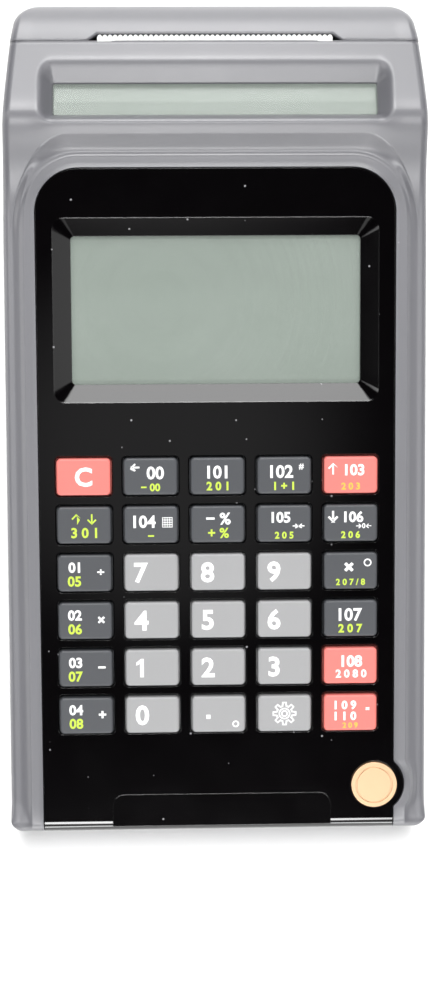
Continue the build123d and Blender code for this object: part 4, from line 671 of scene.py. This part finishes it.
def make_case():
    """The upper case's skin: rim, hump, shoulder and walls of both halves, without the display's
    opening and the sockets' openings."""
    sheets = []
    for side in (1, -1):
        ring, roof, shoulder, wall, xs, s = case_shell(side)
        inside = (xs < GLASS_HALF - 0.01) & (s > GLASS_FRONT - 0.01) & (s < GLASS_REAR + 0.01)
        cells = inside[:-1, :-1] & inside[:-1, 1:] & inside[1:, 1:] & inside[1:, :-1]
        flip = np.array([side, 1, 1])
        sheets += [(ring * flip, None), (roof * flip, ~cells), (shoulder * flip, None)]
        keep = np.ones((wall.shape[0] - 1, wall.shape[1] - 1), bool)
        if side < 0:
            y = (wall[0, :-1, 1] + wall[0, 1:, 1]) / 2
            z = (wall[:-1, :, 2] + wall[1:, :, 2])[:, :-1] / 2
            for centre, half, top in SOCKET_HOLES:
                keep &= ~((np.abs(y - centre) < half) & (z < top))
        sheets.append((wall * flip, keep))
    sheets = [(around_plan_corner(grid), keep) for grid, keep in sheets]
    piece = build("case_top", sheets, "register", CASE, thickness=WALL)
    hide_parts("upper_case")


make_case()


# ---- lid ----
def lid_profile():
    """Side view of the lid's skin from the seam over a round back to its bottom edge, with normals."""
    front_y = SEAM_Y + SEAM_GAP
    front_u = seam_u(0, -SEAM_GAP)
    front_z = on_panel(0, front_u, hump_height(0, front_u))[0, 2]
    fall = math.radians(LID_FALL)
    radius = (REAR_Y - front_y) / (1 - math.sin(fall))
    turn = np.linspace(math.pi / 2 - fall, 0, 40)
    ny, nz = np.cos(turn), np.sin(turn)
    y = REAR_Y - radius + radius * ny
    z = front_z - radius * math.cos(fall) + radius * nz
    drop = np.linspace(z[-1], LID_BOTTOM, 14)[1:]
    count = len(drop)
    return (np.concatenate([y, np.full(count, REAR_Y)]), np.concatenate([z, drop]),
            np.concatenate([ny, np.ones(count)]), np.concatenate([nz, np.zeros(count)]), len(y))


def make_lid():
    """Rear cover: the profile carried across, rounded shoulders, and side walls to the bottom.
    A slot is left at the seam for the paper, with slanted ends."""
    y, z, ny, nz, arc_count = lid_profile()
    ny = ny * smooth((y - SEAM_Y - SEAM_GAP) / 4)
    edge = half_width(y)
    top = np.stack([edge - SHOULDER, y, z], -1)
    corner = np.stack([edge, y, z], -1)
    inner_y = y - SHOULDER * ny
    wall_top = np.stack([half_width(inner_y), inner_y, z - SHOULDER * nz], -1)
    turn = np.linspace(0, math.pi / 2, 8)[:, None, None]
    shoulder = top + (corner - top) * np.sin(turn) + (wall_top - corner) * (1 - np.cos(turn))
    slot_end, slot_corner = 29.9 / 42, 29.2 / 42
    share = np.concatenate([np.linspace(1, slot_end, 8)[:-1], [slot_end, slot_corner],
                            np.linspace(slot_corner, 0, 16)[1:]])
    x = share[None, :] * (edge - SHOULDER)[:, None]
    crown = CROWN * (x / 50) ** 2 * smooth((REAR_Y - y) / 10)[:, None]
    # the slot's edge: the first row steps back from the seam between the slanted ends
    back = 2.0 * smooth((30.6 - np.abs(x[0])) / 1.4)
    skin_y = np.broadcast_to(y[:, None], x.shape)
    moved = skin_y + back * np.maximum(0, 1 - (skin_y - y[0]) / 6)
    on_top = np.interp(moved, y[:arc_count], z[:arc_count])
    skin_z = np.where(skin_y < REAR_Y - 0.001, on_top - crown, np.broadcast_to(z[:, None], x.shape))
    skin = np.stack([x, moved, skin_z], -1)
    skin[:, 0] = top
    shoulder[0] = top
    first = wall_top[:arc_count]
    span = np.linspace(0, 1, 14)[:, None]
    levels = first[None, :, 2] * (1 - span) + LID_BOTTOM * span
    wall = np.stack([np.broadcast_to(first[:, 0], levels.shape),
                     np.broadcast_to(first[:, 1], levels.shape), levels], -1)
    sheets = []
    for side in (1, -1):
        flip = np.array([side, 1, 1])
        sheets += [(skin * flip, None), (shoulder * flip, None), (wall * flip, None)]
    piece = build("lid_cover", sheets, "lid", CASE, thickness=WALL)
    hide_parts("paper_lid")


make_lid()


# ---- lid's arms and hinge lugs ----
PLATEN_Y, PLATEN_Z = 93.2, 54.41
BUSH_HOLE = 2.55
ARM_START, ARM_END = 29.25, 30.75
ARM_HALF, ARM_FRONT, ARM_TOP = 3.5, 3.2, 1.4    # from the bush's axis: up and down, to the front, at the top
ARM_INSET = 0.9                 # how far the arm's rear edge lies inside the lid's skin
HINGE_Y, HINGE_Z, HINGE_RADIUS, PIN_HOLE = 100.4, 19.5, 2.6, 1.05
LUGS = ((-45.6, -38.3), (-29.7, 29.7), (38.3, 45.6))


def tube(outer, inner, start, end):
    """A closed tube along x: outline and hole, both (points, yz), joined at start and end."""
    loops = [(inner, start), (outer, start), (outer, end), (inner, end), (inner, start)]
    return np.stack([np.concatenate([np.full((len(loop), 1), x), loop], 1) for loop, x in loops])


def make_lid_ribs():
    """Two arms inside the lid that hold the platen's bushes: an outline seen from the side, cut
    along rays from the bush's centre, round a hole. Three lugs round the hinge's pin: a circle
    round a hole, kept inside the case's outline seen from above."""
    y, z, ny, nz, arc_count = lid_profile()
    back_y, back_z = (y - ARM_INSET * ny)[:arc_count], (z - ARM_INSET * nz)[:arc_count]
    under = (back_y > PLATEN_Y - ARM_TOP) & (back_z > PLATEN_Z - ARM_HALF)
    low, high, front = PLATEN_Z - ARM_HALF, PLATEN_Z + ARM_HALF, PLATEN_Y - ARM_FRONT
    corners = np.array([(REAR_Y - ARM_INSET, low), (front, low), (front, high), (PLATEN_Y - ARM_TOP, high)])
    outline = np.concatenate([np.stack([back_y[under], back_z[under]], 1), corners])
    outline = np.concatenate([outline, outline[:1]])
    step = np.hypot(*np.diff(outline, axis=0).T)
    walked = np.concatenate([[0], np.cumsum(step)])
    place = np.unique(np.concatenate([walked, np.linspace(0, walked[-1], 60)]))
    outer = np.stack([np.interp(place, walked, outline[:, k]) for k in (0, 1)], 1)
    way = outer - (PLATEN_Y, PLATEN_Z)
    inner = (PLATEN_Y, PLATEN_Z) + BUSH_HOLE * way / np.hypot(*way.T)[:, None]
    sheets = [(tube(outer, inner, side * ARM_START, side * ARM_END), None) for side in (1, -1)]
    turn = np.linspace(0, 2 * math.pi, 49)
    circle = np.stack([np.cos(turn), np.sin(turn)], 1)
    axis = np.array([HINGE_Y, HINGE_Z])
    for start, end in LUGS:
        grid = tube(axis + HINGE_RADIUS * circle, axis + PIN_HOLE * circle, start, end)
        grid[..., 1] = np.minimum(grid[..., 1], np.interp(-np.abs(grid[..., 0]), -SIDE_X, SIDE_Y))
        sheets.append((grid, None))
    build("lid_ribs", sheets, "lid", CASE, sharp=40)


make_lid_ribs()


# ---- tear bar ----
def make_tear_bar():
    """White strip along the slot: its rear edge is a row of rounded teeth, |cos| of the distance
    over the pitch, carried round a closed section."""
    pitch, half, per_tooth = 1.243, 29.0, 10
    teeth = int(2 * half / pitch)
    x = np.linspace(-teeth * pitch / 2, teeth * pitch / 2, teeth * per_tooth + 1)
    tooth = 0.55 * np.abs(np.sin(math.pi * (x - x[0]) / pitch)) ** 0.7
    front, back, top = SEAM_Y - 0.35, SEAM_Y + 1.0, 65.35
    rear = back + tooth
    y = np.stack([np.full_like(x, front), np.full_like(x, front + 0.12), rear - 0.08, rear, rear,
                  rear - 0.1, np.full_like(x, front), np.full_like(x, front)])
    z = np.stack([np.full_like(x, top - 0.1), np.full_like(x, top), np.full_like(x, top - 0.12),
                  np.full_like(x, top - 0.2), np.full_like(x, top - 1.2), np.full_like(x, top - 1.5),
                  np.full_like(x, top - 1.6), np.full_like(x, top - 0.1)])
    grid = np.stack([np.broadcast_to(x, y.shape), y, z], -1)
    ends = []
    for column in (0, -1):
        loop = grid[:4, column]
        under = grid[[7, 6, 5, 4], column]
        ends.append(np.stack([loop, under]))
    sheets = [(grid, None)] + [(end, None) for end in ends]
    piece = build("tear_strip", sheets, "register", CUTTER, sharp=50)
    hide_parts("tear_bar")


make_tear_bar()


# ---- finishes of the modelled parts that keep their shape ----
FINISHES = {
    CASE: ["lower_case", "battery_door", "paper_bay"],
    GLOSS: ["front_panel"],
    CLEAR: ["display_window", "customer_window"],
    LCD: ["display_module", "customer_display"],
    MAT: ["keypad_mat"],
    BOARD: ["keypad_board", "main_board"],
    STEEL: ["lid_hinge_pin", "platen_shaft", "printer_frame", "head_springs", "case_screws", "feed_motor"],
    ROLLER: ["platen_roller"],
    GEARS: ["platen_gear", "idler_gear", "motor_pinion", "platen_bushes"],
    ALUMINIUM: ["thermal_head"],
    WRAP: ["battery_pack"],
    BRASS: ["fiscal_seal"],
    FOOT: ["rubber_feet"],
    SOCKET: ["side_sockets"],
}
KEY_ROWS = [
    ["key_clear", "key_back", "key_inquiry", "key_table", "key_cashier"],
    ["key_shift", "key_lookup", "key_percent", "key_refund", "key_price"],
    ["key_department_1", "key_7", "key_8", "key_9", "key_multiply"],
    ["key_department_2", "key_4", "key_5", "key_6", "key_card"],
    ["key_department_3", "key_1", "key_2", "key_3", "key_subtotal"],
    ["key_department_4", "key_0", "key_point", "key_function", "key_total"],
]
RED_KEYS = {"key_clear", "key_cashier", "key_subtotal", "key_total"}
LIGHT_KEYS = {"key_7", "key_8", "key_9", "key_4", "key_5", "key_6", "key_1", "key_2", "key_3",
              "key_0", "key_point", "key_function"}


def paint(node, material):
    """Gives every material slot of a modelled part this finish."""
    mesh = NODES[node].data
    if not mesh.materials:
        mesh.materials.append(material)
    for index in range(len(mesh.materials)):
        mesh.materials[index] = material


for material, names in FINISHES.items():
    for name in names:
        paint(name, material)
for row in KEY_ROWS:
    for name in row:
        paint(name, KEY_RED if name in RED_KEYS else KEY_LIGHT if name in LIGHT_KEYS else KEY_DARK)


# ---- legends ----
def glyph_mesh(sign, height, bold):
    """Points and faces of one line of signs, centred, as a thin solid. A lone 1 is a stem with a
    flag, given as a polygon of unit height; the rest are cut from Blender's own font."""
    if sign == "1":
        flat = np.array([(0.1, -0.5), (0.1, 0.5), (-0.05, 0.5), (-0.3, 0.3), (-0.3, 0.13), (-0.1, 0.24),
                         (-0.1, -0.5)])
        count = len(flat)
        points = np.concatenate([np.c_[flat * height, np.full(count, z)] for z in (PRINT, -PRINT)])
        ring = np.arange(count)
        sides = np.stack([ring, ring + count, (ring + 1) % count + count, (ring + 1) % count], 1)
        return points, [ring.tolist(), (ring[::-1] + count).tolist()] + sides.tolist()
    curve = bpy.data.curves.new("sign", "FONT")
    curve.body = sign
    curve.size = height / FONT_CAP
    curve.offset = bold
    curve.extrude = PRINT
    curve.resolution_u = 3
    holder = bpy.data.objects.new("sign", curve)
    bpy.context.scene.collection.objects.link(holder)
    bpy.context.view_layer.update()
    mesh = bpy.data.meshes.new_from_object(holder.evaluated_get(bpy.context.evaluated_depsgraph_get()))
    points = np.zeros(len(mesh.vertices) * 3)
    mesh.vertices.foreach_get("co", points)
    points = points.reshape(-1, 3)
    faces = [list(f.vertices) for f in mesh.polygons]
    bpy.data.objects.remove(holder)
    bpy.data.curves.remove(curve)
    bpy.data.meshes.remove(mesh)
    middle = (points.min(0) + points.max(0)) / 2
    points[:, :2] -= middle[:2]
    return points, faces


W, G, A = 0, 1, 2       # white, green and amber print
# on each key: sign, place across and up from the key's middle, height, ink and boldness
LEGENDS = {
    "key_clear": [("C", 0, 0, 4.4, W, 0.2)],
    "key_back": [("←", -3.9, 2.3, 1.9, W, 0.1), ("00", 1.2, 0.9, 3.0, W, 0.12),
                 ("− 00", 0, -2.7, 1.8, G, 0.08)],
    "key_inquiry": [("101", 0, 1.0, 3.0, W, 0.12), ("2 0 1", 0, -2.5, 2.0, G, 0.1)],
    "key_table": [("102", -0.6, 1.0, 3.0, W, 0.12), ("#", 4.3, 2.2, 1.4, W, 0.05),
                  ("1 + 1", 0, -2.6, 1.9, G, 0.1)],
    "key_cashier": [("↑", -4.4, 1.6, 2.6, W, 0.05), ("103", 1.0, 1.3, 2.6, W, 0.12),
                    ("2 0 3", 0, -2.8, 1.6, A, 0.08)],
    "key_shift": [("↑ ↓", 0, 1.5, 2.4, G, 0.05), ("3 0 1", 0, -1.9, 2.4, G, 0.1)],
    "key_lookup": [("104", -1.6, 0.8, 2.9, W, 0.12), ("▦", 4.1, 0.6, 2.4, W, 0.0),
                   ("−", 0, -2.8, 2.0, G, 0.08)],
    "key_percent": [("− %", 0.2, 1.4, 2.8, W, 0.1), ("+ %", 0.2, -2.2, 2.4, G, 0.08)],
    "key_refund": [("105", -0.8, 1.6, 2.5, W, 0.12), ("→←", 3.6, -0.6, 1.2, W, 0.06),
                   ("2 0 5", 0, -2.9, 1.6, G, 0.08)],
    "key_price": [("↓", -4.4, 1.6, 2.5, W, 0.12), ("106", 0.8, 1.6, 2.5, W, 0.12),
                  ("→0←", 3.3, -0.7, 1.2, W, 0.04), ("2 0 6", 0, -2.9, 1.6, G, 0.08)],
    "key_multiply": [("×", -0.4, 1.0, 3.0, W, 0.2), ("○", 4.3, 2.1, 1.7, W, 0.06),
                     ("2 0 7 / 8", 0, -2.8, 1.5, G, 0.06)],
    "key_card": [("107", 0, 1.0, 3.0, W, 0.12), ("2 0 7", 0, -2.5, 2.0, G, 0.1)],
    "key_subtotal": [("108", 0.4, 1.2, 2.7, W, 0.14), ("2 0 8 0", 0.2, -2.0, 1.9, W, 0.1)],
    "key_total": [("1 0 9", -1.2, 2.0, 2.0, W, 0.12), ("1 1 0", -1.2, -0.8, 2.0, W, 0.12),
                  ("=", 4.4, 1.0, 1.0, W, 0.14), ("2 0 9", 0, -3.2, 1.3, A, 0.06)],
    "key_point": [("■", -2.6, -0.6, 1.0, W, 0.0), ("○", 4.3, -2.5, 1.4, W, 0.1)],
    "key_function": [("⚙", 0, 0, 4.0, W, 0.07)],
}
for line, sign in enumerate("÷×−+"):
    LEGENDS[f"key_department_{line + 1}"] = [
        (f"0{line + 1}", -2.6, 1.5, 2.4, W, 0.12), (sign, 4.0, 0.3, 2.4, W, 0.05 if sign == "÷" else 0.12),
        (f"0{line + 5}", -2.6, -2.0, 2.4, G, 0.1)]
for digit in range(10):
    LEGENDS[f"key_{digit}"] = [(str(digit), -2.6, 0.0, 4.7, W, 0.2)]


def make_legends():
    """Printed signs on each key, laid a hair above its top."""
    for row, names in enumerate(KEY_ROWS):
        for column, name in enumerate(names):
            x0 = (column - 2) * KEY_PITCH_X
            u0 = KEY_ROW_TOP - row * KEY_PITCH_U
            points, faces, inks, start = [], [], [], 0
            for sign, dx, du, height, ink, bold in LEGENDS[name]:
                glyph, shapes = glyph_mesh(sign, height, bold)
                points.append(on_panel(x0 + dx + glyph[:, 0], u0 + du + glyph[:, 1],
                                       KEY_TOP + PRINT + glyph[:, 2]))
                faces += [[start + index for index in shape] for shape in shapes]
                inks += [ink] * len(shapes)
                start += len(glyph)
            mesh = bpy.data.meshes.new("print_" + name)
            mesh.from_pydata((np.concatenate(points) * MM).tolist(), [], faces)
            for material in (PRINT_WHITE, PRINT_GREEN, PRINT_AMBER):
                mesh.materials.append(material)
            mesh.polygons.foreach_set("material_index", np.array(inks, np.int32))
            piece = bpy.data.objects.new("print_" + name, mesh)
            bpy.context.scene.collection.objects.link(piece)
            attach(piece, name + "_cap")


make_legends()


# ---- floor, light and camera ----
def make_floor():
    """A pale sheet 3 m square, a grid of 3 by 3 points at height 0."""
    span = np.linspace(-1500, 1500, 3)
    grid = np.stack(np.meshgrid(span, span, indexing="ij") + [np.zeros((3, 3))], -1)
    mesh = bpy.data.meshes.new("floor")
    index = np.arange(9).reshape(3, 3)
    cells = np.stack([index[:-1, :-1], index[1:, :-1], index[1:, 1:], index[:-1, 1:]], -1).reshape(-1, 4)
    mesh.from_pydata((grid.reshape(-1, 3) * MM).tolist(), [], cells.tolist())
    floor = bpy.data.objects.new("floor", mesh)
    bpy.context.scene.collection.objects.link(floor)
    mesh.materials.append(finish("floor_paper", (0.93, 0.93, 0.93, 1), 0.8, grain=300, bump=0.01, tone=0.005))


# soft bright areas of the studio dome: the way to each, the cosines of the angles from it at which it
# starts and is full, and its strength
DOME = [
    ((0, 0.225, 0.974), 0.9816, 0.9976, 25.4),
    ((0, 0.469, 0.883), 0.978, 0.996, 3.6),
    ((0, 0.766, 0.643), 0.951, 0.99, 5.2),
    ((0, 0.951, 0.309), 0.951, 0.99, 6.2),
    ((0, -0.669, 0.743), 0.98, 0.997, 16.0),
    ((0, -0.839, 0.545), 0.978, 0.996, 0.75),
    ((0, -1, 0.03), 0.955, 0.993, 9.6),
    ((-0.574, -0.17, 0.80), 0.966, 0.99, 4.0),
    ((0.574, -0.17, 0.80), 0.966, 0.99, 3.4),
    ((-1, 0, 0.05), 0.966, 0.99, 3.1),
    ((0.906, -0.09, 0.41), 0.951, 0.99, 0.9),
    ((0.55, 0.6, 0.58), 0.951, 0.99, 1.8),
]
DOME_HOLE = ((0, -0.304, 0.953), 0.956, 0.976, 1.0)
DOME_GLIMMER = ((0, -0.287, 0.958), 0.9925, 0.9996, 0.3)
BACKDROP = 0.97                 # brightness that the camera itself sees past the floor


def make_world():
    """A studio dome: dark straight above the panel, so that the gloss stays black, with soft
    bright areas round it and a faint glimmer in the dark."""
    world = bpy.data.worlds.new("studio")
    world.use_nodes = True
    tree = world.node_tree
    way = tree.nodes.new("ShaderNodeTexCoord").outputs["Generated"]

    def lobe(aim, low, high, strength):
        """A soft round area: the cosine of the angle from its middle, eased from low to high."""
        dot = tree.nodes.new("ShaderNodeVectorMath")
        dot.operation = "DOT_PRODUCT"
        dot.inputs[1].default_value = np.array(aim) / np.linalg.norm(aim)
        tree.links.new(way, dot.inputs[0])
        node = tree.nodes.new("ShaderNodeMapRange")
        node.interpolation_type = "SMOOTHSTEP"
        for label, number in (("From Min", low), ("From Max", high), ("To Min", 0.0), ("To Max", strength)):
            node.inputs[label].default_value = number
        tree.links.new(dot.outputs["Value"], node.inputs["Value"])
        return node.outputs["Result"]

    total = 0.0
    for area in DOME:
        total = maths(tree, "ADD", lobe(*area), total)
    shade = maths(tree, "SUBTRACT", 1.0, lobe(*DOME_HOLE))
    total = maths(tree, "ADD", maths(tree, "MULTIPLY", total, shade), lobe(*DOME_GLIMMER))
    seen = tree.nodes.new("ShaderNodeMix")
    tree.links.new(tree.nodes.new("ShaderNodeLightPath").outputs["Is Camera Ray"], seen.inputs["Factor"])
    tree.links.new(total, seen.inputs["A"])
    seen.inputs["B"].default_value = BACKDROP
    tree.links.new(seen.outputs["Result"], tree.nodes["Background"].inputs["Strength"])
    tree.nodes["Background"].inputs["Color"].default_value = (1, 1, 1, 1)
    bpy.context.scene.world = world


TURN_X, TURN_Y, TURN_Z = np.radians([6.04, 1.68, 0.32])     # the camera against the panel's normal
CAMERA_PLACE = (-13.7, 131.9, 447.7)                        # across, up and out of the panel
SENSOR, FOCAL_IN_HEIGHTS = 36, 1800 / 981


def turned(angle, a, b):
    """A turn by this angle that carries axis a towards axis b."""
    matrix = np.eye(3)
    matrix[a, a] = matrix[b, b] = math.cos(angle)
    matrix[b, a], matrix[a, b] = math.sin(angle), -math.sin(angle)
    return matrix


def make_camera():
    """The camera looks down on the panel from 0.45 m, turned by small angles from its normal."""
    axes = (turned(TURN_Z, 0, 1) @ turned(TURN_X, 1, 2) @ turned(TURN_Y, 2, 0)
            @ np.stack([[1, 0, 0], ALONG, OUT])).T
    place = on_panel(*CAMERA_PLACE)[0] * MM
    camera = bpy.data.cameras.new("camera")
    camera.lens = FOCAL_IN_HEIGHTS * SENSOR
    camera.sensor_width = SENSOR
    camera.clip_start = 0.01
    holder = bpy.data.objects.new("camera", camera)
    bpy.context.scene.collection.objects.link(holder)
    matrix = np.eye(4)
    matrix[:3, :3] = axes
    matrix[:3, 3] = place
    holder.matrix_world = Matrix(matrix.tolist())
    bpy.context.scene.camera = holder


make_floor()
make_world()
make_camera()
bpy.context.scene.view_settings.view_transform = "Standard"
